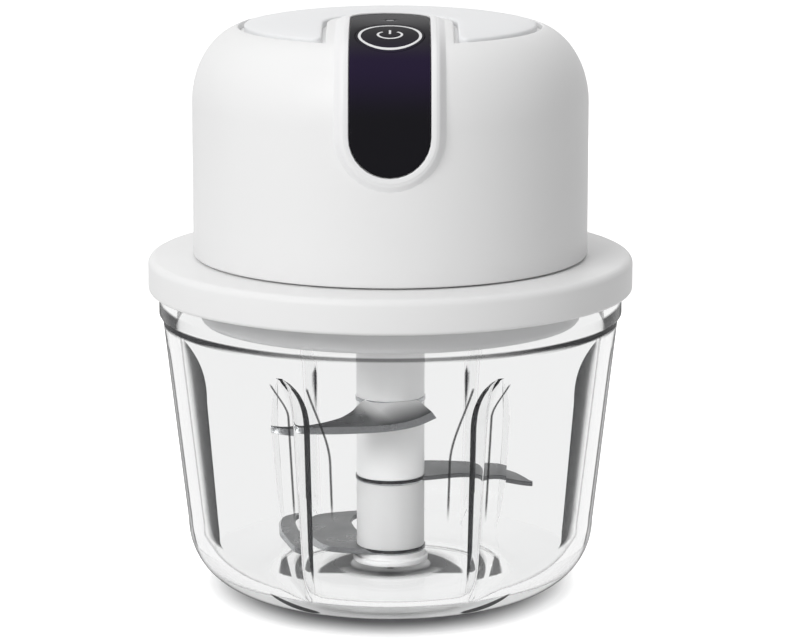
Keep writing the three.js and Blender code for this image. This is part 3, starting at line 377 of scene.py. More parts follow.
def shoulder(angles):
    """Points of (radius, height) round the shoulder, at angles up from its outer side."""
    return [(SHOULDER_CENTRE + SHOULDER_WIDTH * math.cos(a),
             SHOULDER_BOTTOM + SHOULDER_HEIGHT * math.sin(a)) for a in angles]


def front_line():
    """The head's front from behind the middle of the crown to the lid, with the way along it."""
    start = -13.0
    points = [(r, head_height(r)) for r in np.linspace(start, SHOULDER_CENTRE, 120)]
    points += [(r, head_height(r) if r < CAP_SEAT_RADIUS else z)
               for r, z in shoulder(np.linspace(math.pi / 2, 0, 160)[1:])]
    points += [(SHELL, z) for z in np.linspace(SHOULDER_BOTTOM, SHELL_BOTTOM, 60)[1:]]
    p = np.array(points)
    return np.concatenate([[0], np.cumsum(np.hypot(*np.diff(p, axis=0).T))]), p


FRONT_ALONG, FRONT_POINTS = front_line()


def front_at(along):
    return np.array([np.interp(along, FRONT_ALONG, FRONT_POINTS[:, k]) for k in (0, 1)])


def front_normal(along):
    span = 2.2
    run = front_at(along + span) - front_at(max(along - span, 0))
    run /= np.linalg.norm(run)
    return np.array([-run[1], run[0]])


def along_at_radius(radius):
    return float(np.interp(radius, FRONT_POINTS[:, 0], FRONT_ALONG))


STRIP_START = along_at_radius(STRIP_BACK)
STRIP_END = float(np.interp(-STRIP_FRONT_HEIGHT, -FRONT_POINTS[:, 1], FRONT_ALONG))
KEY_ALONG = along_at_radius(KEY_BACK)
LAMP_ALONG = along_at_radius(LAMP_BACK)


def on_front(across, along, height):
    """A point on the head's front: across it, along it from the crown, and above it."""
    spot = front_at(along)
    normal = front_normal(along)
    return (across, -spot[0] - normal[0] * height, spot[1] + normal[1] * height)


def surface_height(across, along):
    """The height of the dome's true surface over its front line. It is below 0 off to the side."""
    spot, normal = front_at(along), front_normal(along)
    height = 0.0
    for _ in range(5):
        at = spot + normal * height
        gaps = FRONT_POINTS - (math.hypot(across, at[0]), at[1])
        nearest = int(np.argmin((gaps ** 2).sum(1)))
        height += float(gaps[nearest] @ front_normal(FRONT_ALONG[nearest]))
    return height


# Shader nodes. A value is a number, a colour or another node's socket.
def feed(tree, socket, value):
    if isinstance(value, bpy.types.NodeSocket):
        tree.links.new(value, socket)
    else:
        socket.default_value = value


def node(tree, kind, **sockets):
    made = tree.nodes.new(kind)
    for key, value in sockets.items():
        feed(tree, made.inputs[key.replace("_", " ")], value)
    return made


def shader(name, color, roughness, metallic=0.0, specular=0.5, ior=1.45):
    material = bpy.data.materials.new(name)
    material.use_nodes = True
    tree = material.node_tree
    sockets = tree.nodes["Principled BSDF"].inputs
    sockets["Base Color"].default_value = (*color, 1)
    sockets["Roughness"].default_value = roughness
    sockets["Metallic"].default_value = metallic
    sockets["Specular IOR Level"].default_value = specular
    sockets["IOR"].default_value = ior
    return material, tree, sockets


def coordinates(tree, scale=(1, 1, 1), location=(0, 0, 0)):
    coords = tree.nodes.new("ShaderNodeTexCoord")
    made = node(tree, "ShaderNodeMapping", Vector=coords.outputs["Object"], Scale=scale,
                Location=location)
    return made.outputs["Vector"]


def axes(tree):
    return node(tree, "ShaderNodeSeparateXYZ", Vector=coordinates(tree)).outputs


def painted(tree, name):
    """What paint() gave the points under this name."""
    made = tree.nodes.new("ShaderNodeAttribute")
    made.attribute_name = name
    return made.outputs["Fac"]


def noise(tree, vector, scale, detail=3.0, rough=0.5):
    made = node(tree, "ShaderNodeTexNoise", Vector=vector, Scale=scale, Detail=detail, Roughness=rough)
    return made.outputs["Fac"]


def calc(tree, operation, *values):
    made = tree.nodes.new("ShaderNodeMath")
    made.operation = operation
    for socket, value in zip(made.inputs, values):
        feed(tree, socket, value)
    return made.outputs[0]


def product(tree, *values):
    return functools.reduce(lambda a, b: calc(tree, "MULTIPLY", a, b), values)


def highest(tree, *values):
    return functools.reduce(lambda a, b: calc(tree, "MAXIMUM", a, b), values)


def ramp(tree, value, low, high, first=0.0, last=1.0, kind="SMOOTHSTEP"):
    """From first to last as the value goes from low to high."""
    made = node(tree, "ShaderNodeMapRange", Value=value, From_Min=low, From_Max=high, To_Min=first,
                To_Max=last)
    made.interpolation_type = kind
    return made.outputs["Result"]


def spread(tree, value, low, high):
    """A noise value, stretched from low to high."""
    return ramp(tree, value, 0.3, 0.7, low, high, "LINEAR")


def tint(tree, value, first, second):
    """The colour between first and second."""
    made = tree.nodes.new("ShaderNodeMix")
    made.data_type = "RGBA"
    feed(tree, made.inputs["Factor"], value)
    for key, color in (("A", first), ("B", second)):
        feed(tree, made.inputs[key], (*color, 1) if isinstance(color, tuple) else color)
    return made.outputs["Result"]


def mixed(tree, value, first, second):
    """The shader between first and second."""
    made = node(tree, "ShaderNodeMixShader", Fac=value)
    feed(tree, made.inputs[1], first)
    feed(tree, made.inputs[2], second)
    return made.outputs["Shader"]


def grained(tree, sockets, color, change, tone, gloss, relief, strength, depth):
    """Uneven colour, gloss and relief. gloss is a noise with the roughness at its low and high."""
    darker = tuple(c * (1 - change) for c in color)
    feed(tree, sockets["Base Color"], tint(tree, spread(tree, tone, 0, 1), color, darker))
    feed(tree, sockets["Roughness"], spread(tree, *gloss))
    bump(tree, sockets, relief, strength, depth)


def bump(tree, sockets, relief, strength, depth):
    made = node(tree, "ShaderNodeBump", Height=relief, Strength=strength, Distance=depth)
    feed(tree, sockets["Normal"], made.outputs["Normal"])


# Materials
def moulded(name, color, roughness, grain=2600, change=0.02, specular=0.5):
    """Moulded plastic: a fine even grain, slow changes of tone, and uneven gloss."""
    material, tree, sockets = shader(name, color, roughness, specular=specular)
    vector = coordinates(tree)
    slow = noise(tree, vector, 28)
    grained(tree, sockets, color, change, slow, (slow, roughness - 0.03, roughness + 0.04),
            noise(tree, vector, grain, 2), 0.35, 0.02 * MM)
    return material


def metal(name, color, roughness, stretch=(40, 1, 40), scale=90, change=0.25, depth=0.01 * MM):
    """Metal with fine lines from grinding or drawing."""
    material, tree, sockets = shader(name, color, roughness, metallic=1.0)
    lines = noise(tree, coordinates(tree, stretch), scale, 4, 0.6)
    cloud = noise(tree, coordinates(tree), 120)
    grained(tree, sockets, color, change, lines, (cloud, roughness - 0.06, roughness + 0.08),
            lines, 0.3, depth)
    return material


GLASS_IOR = 1.1
GLASS_CLEAR = (0.93, 0.932, 0.932)
# Painted shade: the dark colour of the marks painted into the glass, and the dark finish painted where
# it is seen edge-on
GLASS_PAINTED_SHADE = (0.015, 0.015, 0.017)
GLASS_PAINTED_EDGE = (0.05, 0.051, 0.053, 1)
GLASS_SHADOW = (0.87, 0.87, 0.87, 1)
# The thin painted dark lines where the front ribs' roots bend the light: the degrees from the front,
# the heights between which each bows outwards and by how many degrees, and the height at which it runs
# out
ROOT_LINES = ((26.0, 42.5, 51.0, 5.6, 21.0), (15.3, 34.0, 53.0, 6.2, 22.0))
ROOT_TOP = 48.9
# The painted dark arches on the bowl's floor: half width, half depth and middle of their ovals
INNER_ARCH = (14.4, 19.5, -8.5)
OUTER_ARCH = (21.4, 26.5, -9.3)
# The lens-shaped painted shade low on the wall, in degrees from the front and in millimetres
CRESCENT_START = 24.0
CRESCENT_MIDDLE = 30.5
CRESCENT_HALF = 7.3
CRESCENT_BOTTOM = 2.0
CRESCENT_CURVE = 57.5
CRESCENT_THICKNESS = 0.95


def root_line(tree, turn, z, middle, bow_low, bow_high, bow, bottom):
    """A thin dark line where a front rib's root bends the light."""
    centre = ramp(tree, z, bow_low * MM, bow_high * MM, math.radians(middle),
                  math.radians(middle + bow))
    away = calc(tree, "ABSOLUTE", calc(tree, "SUBTRACT", turn, centre))
    return product(tree, ramp(tree, away, math.radians(0.1), math.radians(0.46), 1.0, 0.0),
                   ramp(tree, z, bottom * MM, (bottom + 5) * MM),
                   ramp(tree, z, (ROOT_TOP - 0.8) * MM, ROOT_TOP * MM, 1.0, 0.0))


def floor_shade(tree, across, y, z):
    """The dark arches that the blades and the ribs' feet throw on the bowl's floor."""
    def oval(wide, deep, middle):
        a = calc(tree, "DIVIDE", across, wide * MM)
        b = calc(tree, "DIVIDE", calc(tree, "SUBTRACT", y, middle * MM), deep * MM)
        reach = calc(tree, "ADD", calc(tree, "POWER", a, 2), calc(tree, "POWER", b, 2))
        return ramp(tree, reach, 0.93, 1.05, 1.0, 0.0)
    beside = ramp(tree, across, 16.3 * MM, 16.7 * MM)
    arches = highest(tree, oval(*INNER_ARCH), product(tree, oval(*OUTER_ARCH), beside))
    off_floor = calc(tree, "ABSOLUTE", calc(tree, "SUBTRACT", z, FLOOR_TOP * MM))
    return product(tree, arches, ramp(tree, y, -9.6 * MM, -8.2 * MM),
                   ramp(tree, off_floor, 0.1 * MM, 0.25 * MM, 0.8, 0.0))


def foot_crescent(tree, turn, z):
    """A lens of painted shade on the bowl's lower corner, on either side of the front."""
    past = highest(tree, calc(tree, "SUBTRACT", turn, math.radians(CRESCENT_START)), 0.0)
    height = calc(tree, "MULTIPLY_ADD", product(tree, past, past), CRESCENT_CURVE * MM,
                  CRESCENT_BOTTOM * MM)
    away = calc(tree, "DIVIDE", calc(tree, "SUBTRACT", z, height), CRESCENT_THICKNESS * MM)
    along = calc(tree, "DIVIDE", calc(tree, "SUBTRACT", turn, math.radians(CRESCENT_MIDDLE)),
                 math.radians(CRESCENT_HALF))
    reach = calc(tree, "ADD", product(tree, away, away), product(tree, along, along))
    return ramp(tree, reach, 0.75, 1.1, 0.9, 0.0)


def glass_material():
    """Clear glass with painted shade where it is seen edge-on, on its ribs and along its painted lines,
    arches and crescents. Lamps shine through it.
    """
    material, tree, sockets = shader("bowl_glass", (1, 1, 1), 0.0, ior=GLASS_IOR)
    sockets["Transmission Weight"].default_value = 1.0
    x, y, z = axes(tree)
    across = calc(tree, "ABSOLUTE", x)
    turn = calc(tree, "ARCTAN2", across, product(tree, y, -1.0))
    facing = node(tree, "ShaderNodeLayerWeight", Blend=0.5).outputs["Facing"]
    outer = painted(tree, "outer")
    roots = highest(tree, *[root_line(tree, turn, z, *line) for line in ROOT_LINES])
    drawn = highest(
        tree, product(tree, painted(tree, "line"), ramp(tree, facing, 0.1, 0.5, 0.3, 1.0, "LINEAR")),
        painted(tree, "rib"), product(tree, roots, outer, 0.9),
        product(tree, floor_shade(tree, across, y, z), ramp(tree, facing, 0.58, 0.68)),
        product(tree, foot_crescent(tree, turn, z), outer))
    # Painted shade: the painted lines, ribs, roots, arches and crescents darken the glass's colour
    feed(tree, sockets["Base Color"], tint(tree, drawn, GLASS_CLEAR, GLASS_PAINTED_SHADE))
    feed(tree, sockets["Roughness"], product(tree, painted(tree, "haze"), 0.6))
    # Painted shade: the glass turns to a dark diffuse finish where it is seen edge-on and on its
    # painted marks
    edge = highest(tree, ramp(tree, facing, 0.8, 0.99, 0.0, 0.85), product(tree, drawn, 0.8))
    rim = node(tree, "ShaderNodeBsdfDiffuse", Color=GLASS_PAINTED_EDGE).outputs["BSDF"]
    outlined = mixed(tree, edge, tree.nodes["Principled BSDF"].outputs["BSDF"], rim)
    shadow = tree.nodes.new("ShaderNodeLightPath").outputs["Is Shadow Ray"]
    open_way = node(tree, "ShaderNodeBsdfTransparent", Color=GLASS_SHADOW).outputs["BSDF"]
    feed(tree, tree.nodes["Material Output"].inputs["Surface"], mixed(tree, shadow, outlined, open_way))
    return material


def strip_material():
    """Gloss black with a painted reflection: it turns violet and then grey towards the crown."""
    material, tree, sockets = shader("strip_gloss", (0.012, 0.012, 0.014), 0.16, ior=1.02)
    z = axes(tree)[2]
    # Painted reflection: violet and then grey as the strip rises onto the crown
    violet = tint(tree, ramp(tree, z, 99 * MM, 109 * MM), (0.0125, 0.012, 0.0145),
                  (0.021, 0.015, 0.036))
    grey = tint(tree, ramp(tree, z, 109.5 * MM, 114.5 * MM), violet, (0.036, 0.035, 0.038))
    feed(tree, sockets["Base Color"], grey)
    feed(tree, sockets["Roughness"], spread(tree, noise(tree, coordinates(tree), 60), 0.12, 0.2))
    bump(tree, sockets, noise(tree, coordinates(tree), 900, 2), 0.2, 0.002 * MM)
    return material


def blade_steel():
    """Ground steel: dark where it mirrors the room, lighter where its shine is painted."""
    material = metal("blade_steel", (0.15, 0.153, 0.157), 0.3, (3, 30, 3), 160, 0.08, 0.002 * MM)
    tree = material.node_tree
    color = tree.nodes["Principled BSDF"].inputs["Base Color"]
    ground = color.links[0].from_socket
    feed(tree, color, tint(tree, painted(tree, "shine"), ground, (0.9, 0.9, 0.9)))
    return material


WHITE = moulded("white_plastic", (0.83, 0.83, 0.83), 0.42, specular=0.3)
CAP_WHITE = moulded("cap_plastic", (0.82, 0.825, 0.835), 0.35, change=0.01, specular=0.3)
HUB_WHITE = moulded("hub_plastic", (0.76, 0.76, 0.762), 0.45, specular=0.3)
# Painted shade: a darker copy of the hub's white plastic for its lower sleeve
HUB_PAINTED_SHADE = moulded("hub_plastic_painted_shade", (0.58, 0.58, 0.582), 0.45, specular=0.3)
BEZEL_WHITE = moulded("bezel_plastic", (0.84, 0.84, 0.845), 0.3, change=0.01, specular=0.2)
STRIP_BLACK = strip_material()
PRINT_WHITE = moulded("print_white", (0.75, 0.75, 0.76), 0.5)
LAMP_GREY = moulded("lamp_grey", (0.24, 0.24, 0.25), 0.4, specular=0.1)
SOFT_WHITE = moulded("soft_white", (0.74, 0.74, 0.735), 0.62, grain=1800)
NYLON = moulded("grey_nylon", (0.32, 0.325, 0.33), 0.5)
BLADE = blade_steel()
# Lighter steel for bevels and ring bands is a painted highlight; near-black steel for the other ring
# faces is a painted dark reflection
EDGE_PAINTED_HIGHLIGHT = metal("edge_steel_painted_highlight", (0.5, 0.51, 0.52), 0.22)
RING_PAINTED_DARK = metal("ring_steel_painted_dark", (0.07, 0.07, 0.073), 0.2)
# Painted shade: a darker copy of the lid's white for the plug under it
PLUG_PAINTED_SHADE = moulded("plug_plastic_painted_shade", (0.62, 0.62, 0.625), 0.4)
ZINC = metal("zinc_steel", (0.48, 0.49, 0.50), 0.3, stretch=(1, 1, 1), scale=300)
IRON = metal("dark_iron", (0.08, 0.082, 0.086), 0.55, stretch=(1, 1, 60), scale=60)
MAGNET = moulded("magnet_grey", (0.04, 0.04, 0.042), 0.6)
COPPER = metal("copper_wire", (0.55, 0.22, 0.09), 0.3, stretch=(1, 1, 30), scale=80)
CARBON = moulded("carbon_black", (0.02, 0.02, 0.02), 0.7)
CELL_BLUE = moulded("cell_sleeve", (0.045, 0.21, 0.43), 0.35)
BOARD_GREEN = moulded("board_green", (0.014, 0.15, 0.055), 0.4)
GLASS = glass_material()


# Bowl
def wall_at(z):
    """The wall's outer radius at a height."""
    share = (z - BOWL_CORNER) / (BAND_BOTTOM - BOWL_CORNER)
    return BOWL_WALL_RADIUS + (BAND_RADIUS - BOWL_WALL_RADIUS) * share


INNER_CORNER = BOWL_CORNER - BOWL_WALL
INNER_TURN = FLOOR_TOP + INNER_CORNER
INNER_CENTRE = wall_at(INNER_TURN) - BOWL_WALL - INNER_CORNER
RIB_TOP = 49.5
RIB_NOSE = 13.0
NOSE_BOTTOM = RIB_TOP - RIB_NOSE
NOSE_POWER = 2.3
RIDGE_HALF = 0.75
ROOT_HALF = 2.6
# A rib's ridge radius at its foot and top, the height of its foot, the part of its flank that is
# round, the parts of the flank that carry painted shade in full and not at all, between which
# heights it is painted dark, and how dark
FRONT_RIB = dict(foot=30.2, top=31.4, foot_height=FLOOR_TOP, ridge_end=0.08, dark=(0.09, 0.12),
                 dark_from=6.0, dark_to=60.0, tone=1.0)
BACK_RIB = dict(FRONT_RIB, dark=(0.02, 0.04), dark_from=27.5, dark_to=38.5)
SIDE_RIB = dict(foot=34.2, top=36.8, foot_height=4.2, ridge_end=0.2, dark=(0.6, 0.95),
                dark_from=0.0, dark_to=60.0, tone=0.72)
RIBS = [SIDE_RIB, BACK_RIB, BACK_RIB, SIDE_RIB, FRONT_RIB, FRONT_RIB]
# Shares of the way from a rib's ridge (0) to its root (1) where its flank has points
FLANK = [1, 0.97, 0.93, 0.87, 0.78, 0.66, 0.5, 0.34, 0.22, 0.14, 0.12, 0.09, 0.06, 0.03, 0.012, 0]
BETWEEN_RIBS = 18
BOSS = [(8.2, FLOOR_TOP), (7.7, FLOOR_TOP + 0.5), (7.3, FLOOR_TOP + 0.78), (6.6, FLOOR_TOP + 0.8),
        (2.6, FLOOR_TOP + 0.8), (2.6, 2.4)]
# Painted shade on the boss round the pin, darker at its foot than up its side
BOSS_FOOT_SHADE = 0.75
BOSS_SIDE_SHADE = 0.4
HAZE_TOP = 4.6


def inner_at(z):
    """The wall's inner radius at a height."""
    if z >= INNER_TURN:
        return wall_at(z) - BOWL_WALL
    return INNER_CENTRE + math.sqrt(max(INNER_CORNER ** 2 - (INNER_TURN - z) ** 2, 0))


def ridge_at(z, rib):
    """How far in a rib reaches at a height, or the wall where there is none."""
    wall = inner_at(z)
    if z >= RIB_TOP:
        return wall
    if z >= NOSE_BOTTOM:
        return wall - (wall - rib["top"]) * (1 - ((z - NOSE_BOTTOM) / RIB_NOSE) ** NOSE_POWER)
    share = max(z - rib["foot_height"], 0) / (NOSE_BOTTOM - rib["foot_height"])
    return min(wall, rib["foot"] + (rib["top"] - rib["foot"]) * share)


def rib_half(share, end):
    """Half the rib's width, from its round ridge (share 0) to its root on the wall (share 1)."""
    if share < end:
        return RIDGE_HALF * math.sin(math.pi / 2 * share / end)
    return RIDGE_HALF + (ROOT_HALF - RIDGE_HALF) * ((share - end) / (1 - end)) ** 4


def painted_rib_shade(rib, share, z, depth):
    """How much painted shade a rib has on its flank. It fades at both its ends and where it is shallow.
    """
    full, none = rib["dark"]
    grown = clamp(min((z - rib["dark_from"]) / 7, (rib["dark_to"] - z) / 2))
    return clamp((none * grown - share) / (none - full)) * min(1.0, depth / 0.8) * rib["tone"]


def bowl_row(z, radius, ribbed):
    """A level row round the bowl, with its points' painted rib shade."""
    points, painted_shades = [], []
    for k, rib in enumerate(RIBS):
        base = math.radians(60 * k)
        depth = radius - ridge_at(z, rib) if ribbed else 0
        slim = clamp(depth / 2.5)
        for share, side in [(s, -1) for s in FLANK] + [(s, 1) for s in FLANK[-2::-1]]:
            half = side * rib_half(share, rib["ridge_end"])
            r, shade = radius, 0.0
            if depth > 0.01:
                r -= depth * (1 - share)
                half *= slim + (1 - slim) * share
                shade = painted_rib_shade(rib, share, z, depth)
            points.append((r * math.cos(base + half / r), r * math.sin(base + half / r), z))
            painted_shades.append(shade)
        edge = ROOT_HALF / radius
        for a in np.linspace(base + edge, base + math.radians(60) - edge, BETWEEN_RIBS + 1)[1:-1]:
            points.append((radius * math.cos(a), radius * math.sin(a), z))
            painted_shades.append(0.0)
    return points, painted_shades


def rim_line_painted_shade(x, y, r, z):
    """The painted dark line under the rim, which is wider at the sides than at the front."""
    if BAND_BOTTOM - 0.1 < z < BAND_BOTTOM + 0.7 and r > BAND_RADIUS:
        return 1.0
    if BAND_BOTTOM - 1.1 < z < BAND_BOTTOM and r < BAND_RADIUS + 0.01:
        wide = (math.degrees(math.atan2(abs(x), abs(y))) / 90) ** 1.5
        return clamp((wide * 1.2 - (BAND_BOTTOM - 0.3 - z)) * 4)
    return 0.0


def bowl_piece():
    build = Build()
    painted_shades, lines, hazes, outers = [], [], [], []

    def row(r, z, ribbed=False, outside=False, boss=False):
        points, dark = bowl_row(z, r, ribbed)
        # The boss rows take the painted shade
        if boss:
            dark = [BOSS_FOOT_SHADE if r > 8 else BOSS_SIDE_SHADE] * len(points)
        painted_shades.extend(dark)
        lines.extend(rim_line_painted_shade(x, y, r, z) if outside else 0.0 for x, y, _ in points)
        hazed = boss or outside and r > 27 and z < HAZE_TOP
        hazes.extend([float(hazed)] * len(points))
        wall = outside and r > 28 and z < BAND_BOTTOM and r < BAND_RADIUS + 0.01
        outers.extend([float(wall)] * len(points))
        return build.add(points)

    outside = [(FOOT_RING, 0.0)]
    outside += arc(BOWL_WALL_RADIUS - BOWL_CORNER, BOWL_CORNER, BOWL_CORNER, -90, 0, 22)
    outside += [(wall_at(z), z) for z in np.linspace(BOWL_CORNER, BAND_BOTTOM - 1.4, 9)[1:]]
    outside += [(wall_at(BAND_BOTTOM - drop), BAND_BOTTOM - drop) for drop in (1.0, 0.6, 0.3)]
    outside += [(BAND_RADIUS + 0.12, BAND_BOTTOM), (BOWL_RIM - 0.2, BAND_BOTTOM + 0.55),
                (BOWL_RIM, BAND_BOTTOM + 0.9)]
    inner_rim = BAND_RADIUS - BOWL_WALL
    outside += arc(BOWL_RIM - 0.8, BOWL_HEIGHT - 0.8, 0.8, 0, 90, 5)
    outside += arc(inner_rim + 0.8, BOWL_HEIGHT - 0.8, 0.8, 90, 180, 5)
    outside += [(inner_rim, BAND_BOTTOM + 0.4)]
    rows = [row(r, z, outside=True) for r, z in outside]
    heights = [*np.linspace(BAND_BOTTOM - 0.6, RIB_TOP, 3), *np.linspace(RIB_TOP, NOSE_BOTTOM, 22)[1:],
               *np.linspace(NOSE_BOTTOM, INNER_TURN, 16)[1:]]
    heights += [INNER_TURN - INNER_CORNER * math.sin(a) for a in np.linspace(0.08, math.pi / 2, 24)]
    rows += [row(inner_at(z), z, ribbed=True) for z in heights]
    rows += [row(r, FLOOR_TOP) for r in (26.5, 22.0, 14.0)]
    rows += [row(r, z, boss=6 < r < 9) for r, z in BOSS]
    punt = [(FOOT_RING - 3.4 * t, smoothstep(t)) for t in np.linspace(0, 1, 11)[1:]] + [(12.0, 1.0)]
    lower = [rows[0]] + [row(r, z) for r, z in punt]
    build.bridge_all(rows)
    build.bridge_all(lower, flip=True)
    build.close(rows[-1])
    build.close(lower[-1], flip=True)
    data = build.mesh("glass_bowl")
    # rib and line hold painted shade for the glass; haze and outer are masks
    for name, values in (("rib", painted_shades), ("line", lines), ("haze", hazes), ("outer", outers)):
        paint(data, name, values)
    sharpen(data, 50)
    piece("glass_bowl", "bowl_base", data, GLASS, ["bowl"])


# Blades
BLADE_REACH = 28.9
BLADE_THICK = 0.9
BLADE_BEVEL = 1.25
BLADE_STEPS = 60
EDGE_THICK = 0.24
EDGE_ROUND = 0.15
# Height of the ring's low band of lighter steel, a painted highlight
RING_HIGHLIGHT_BAND = 0.3
# The upper blade's shine: its middle lies in front of the hub's, and it fades out at its reach
SHINE_FRONT = 3.0
SHINE_REACH = 9.5
SHINE_FADE = 2.5
# Each blade's place and lean, and its two outlines in shares of the reach, from its root to its tip
BLADES = {
    "upper": dict(heading=214, roll=-10, droop=-4, drop=1.2, bottom=37.3, shine=1.0,
                  cutting=[[-0.09, 0.43], [0.105, 0.478], [0.315, 0.46], [0.56, 0.363], [0.76, 0.22],
                           [0.89, 0.075], [0.95, -0.03]],
                  back=[[-0.035, 0.14], [0.14, 0.02], [0.27, 0.05], [0.36, 0.092], [0.53, 0.165],
                        [0.67, 0.165], [0.79, 0.11], [0.94, -0.05]]),
    "middle": dict(heading=0, roll=3, droop=0, drop=1.5, bottom=21.1,
                   cutting=[[0.07, 0.33], [0.23, 0.353], [0.51, 0.332], [0.69, 0.28], [0.86, 0.221],
                            [0.948, 0.114], [0.99, 0.014]],
                   back=[[0.07, -0.15], [0.242, -0.087], [0.484, 0], [0.692, -0.028], [0.858, -0.035],
                         [0.985, -0.04]]),
    "lower": dict(heading=0, roll=0, droop=0, drop=0, bottom=6.7,
                  cutting=[[-0.1, -0.225], [-0.29, -0.185], [-0.46, -0.115], [-0.53, -0.01],
                           [-0.595, 0.168], [-0.65, 0.378], [-0.585, 0.77], [-0.37, 0.892],
                           [-0.2, 0.93], [0, 0.91]],
                  back=[[-0.02, 0.1], [-0.13, 0.13], [-0.175, 0.158], [-0.2, 0.24], [-0.245, 0.38],
                        [-0.27, 0.5], [-0.283, 0.612], [-0.245, 0.77], [-0.14, 0.84], [0, 0.885]]),
}


def smooth_curve(shares):
    """A Catmull-Rom curve with centripetal spacing through the shares, in millimetres."""
    pts = np.array(shares, float) * BLADE_REACH
    ext = np.vstack([2 * pts[0] - pts[1], pts, 2 * pts[-1] - pts[-2]])
    count = len(pts) - 1
    made = []
    for i in range(BLADE_STEPS + 1):
        u = i / BLADE_STEPS * count
        k = min(int(u), count - 1)
        t = u - k
        p0, p1, p2, p3 = ext[k:k + 4]
        d = [max(np.linalg.norm(b - a) ** 0.5, 1e-6) for a, b in ((p0, p1), (p1, p2), (p2, p3))]
        m1 = ((p1 - p0) / d[0] - (p2 - p0) / (d[0] + d[1]) + (p2 - p1) / d[1]) * d[1]
        m2 = ((p2 - p1) / d[1] - (p3 - p1) / (d[1] + d[2]) + (p3 - p2) / d[2]) * d[1]
        made.append((2 * t ** 3 - 3 * t ** 2 + 1) * p1 + (t ** 3 - 2 * t ** 2 + t) * m1
                    + (-2 * t ** 3 + 3 * t ** 2) * p2 + (t ** 3 - t ** 2) * m2)
    return made


def blade_piece(name, heading, roll, droop, drop, bottom, cutting, back, shine=0.0):
    ring = HUB + 0.2
    turn = math.radians(heading)
    lean_x, lean_y = math.tan(math.radians(droop)), math.tan(math.radians(roll))
    build = Build()
    rows = []
    bevel_faces = set()
    for edge, spine in zip(smooth_curve(cutting), smooth_curve(back)):
        width = np.linalg.norm(edge - spine)
        bevel = min(BLADE_BEVEL / width, 0.5)
        soft = min(EDGE_ROUND / width, 0.1)
        half = (1 + bevel) / 2
        profile = [(s, 0.12 if s in (0, 1) else 0) for s in (0, soft, bevel, half, 1 - soft, 1)]
        profile += [(1, BLADE_THICK - 0.12), (1 - soft, BLADE_THICK), (half, BLADE_THICK),
                    (bevel, BLADE_THICK), (soft, EDGE_THICK)]
        points = []
        for share, height in profile:
            x, y = edge + (spine - edge) * share
            radius = math.hypot(x, y)
            rooted = smoothstep(clamp((radius - ring) / 5))
            tipped = smoothstep(clamp((radius / BLADE_REACH - 0.6) / 0.4))
            z = bottom + height + rooted * (x * lean_x + y * lean_y) - tipped * drop
            points.append((x * math.cos(turn) - y * math.sin(turn),
                           x * math.sin(turn) + y * math.cos(turn), z))
        rows.append(build.add(points))
    for first, second in zip(rows, rows[1:]):
        start = len(build.faces)
        build.bridge(first, second)
        bevel_faces.update(range(start + len(first) - 2, len(build.faces)))
    build.close(rows[0], flip=True)
    build.close(rows[-1])
    ring_start = len(build.faces)
    build.merge(revolve(fillet([
        (HUB_BORE, bottom, 0), (ring, bottom, 0.1), (ring, bottom + RING_HIGHLIGHT_BAND, 0),
        (ring, bottom + BLADE_THICK, 0.1), (HUB_BORE, bottom + BLADE_THICK, 0)], 3), 96))
    data = build.mesh("blade_" + name + "_steel")
    sharpen(data, 26)
    piece(data.name, "cutter", data, BLADE, ["blade_" + name])
    away = [math.hypot(v.co.x / MM, v.co.y / MM + SHINE_FRONT) for v in data.vertices]
    paint(data, "shine", [shine * clamp((SHINE_REACH - a) / SHINE_FADE) for a in away])
    data.materials.append(EDGE_PAINTED_HIGHLIGHT)
    data.materials.append(RING_PAINTED_DARK)
    for face in data.polygons:
        x, y, z = (c / MM for c in face.center)
        # Painted highlight: the bevels, the ring's low band and the whole ring of the shining blade
        # take the lighter steel; the rest of the ring is painted dark
        if face.index in bevel_faces:
            face.material_index = 1
        elif face.index >= ring_start and math.hypot(x, y) > HUB - 0.1:
            face.material_index = 1 if shine or z < bottom + RING_HIGHLIGHT_BAND else 2


# Hub
HUB_SOCKET = 7.6
HUB_TOP = 53.9


def hub_pieces():
    foot = fillet([(5.5, 4.4, 0), (7.5, 4.4, 0.25), (7.5, 5.5, 0.3), (HUB, 5.5, 0.15), (HUB, 6.7, 0.08),
                   (5.5, 6.7, 0)])
    turned("hub_collar", "cutter", foot, HUB_WHITE, ["hub_foot"])
    for place, low, high, material in (("lower", 7.6, 21.1, HUB_PAINTED_SHADE), ("upper", 22.0, 37.3, HUB_WHITE)):
        wall = fillet([(HUB_BORE, low, 0), (HUB, low, 0.15), (HUB, high, 0.15), (HUB_BORE, high, 0)])
        turned("hub_sleeve_" + place, "cutter", wall, material, ["hub_spacer_" + place])
    # The head of the hub is open at its top for the coupler: a round skin round a six-sided socket
    build = Build()
    turns = around(96)
    profile = fillet([(HUB_BORE, 38.2, 0), (HUB, 38.2, 0.15), (HUB, HUB_TOP, 0.6), (4.6, HUB_TOP, 0)])
    rows = [build.ring(r, z, turns) for r, z in profile]
    sixth = math.pi / 3
    for z, across in ((HUB_TOP, HUB_SOCKET + 0.6), (HUB_TOP - 0.6, HUB_SOCKET), (45.6, HUB_SOCKET)):
        radii = [across / 2 / math.cos((a + sixth / 2) % sixth - sixth / 2) for a in turns]
        rows.append(build.add([(r * math.cos(a), r * math.sin(a), z) for r, a in zip(radii, turns)]))
    build.bridge_all(rows)
    build.close(rows[-1])
    build.close(rows[0], flip=True)
    data = build.mesh("hub_cap")
    sharpen(data, 30)
    piece("hub_cap", "cutter", data, HUB_WHITE, ["hub_head"])


# Lid
SCREW_CIRCLE = 31


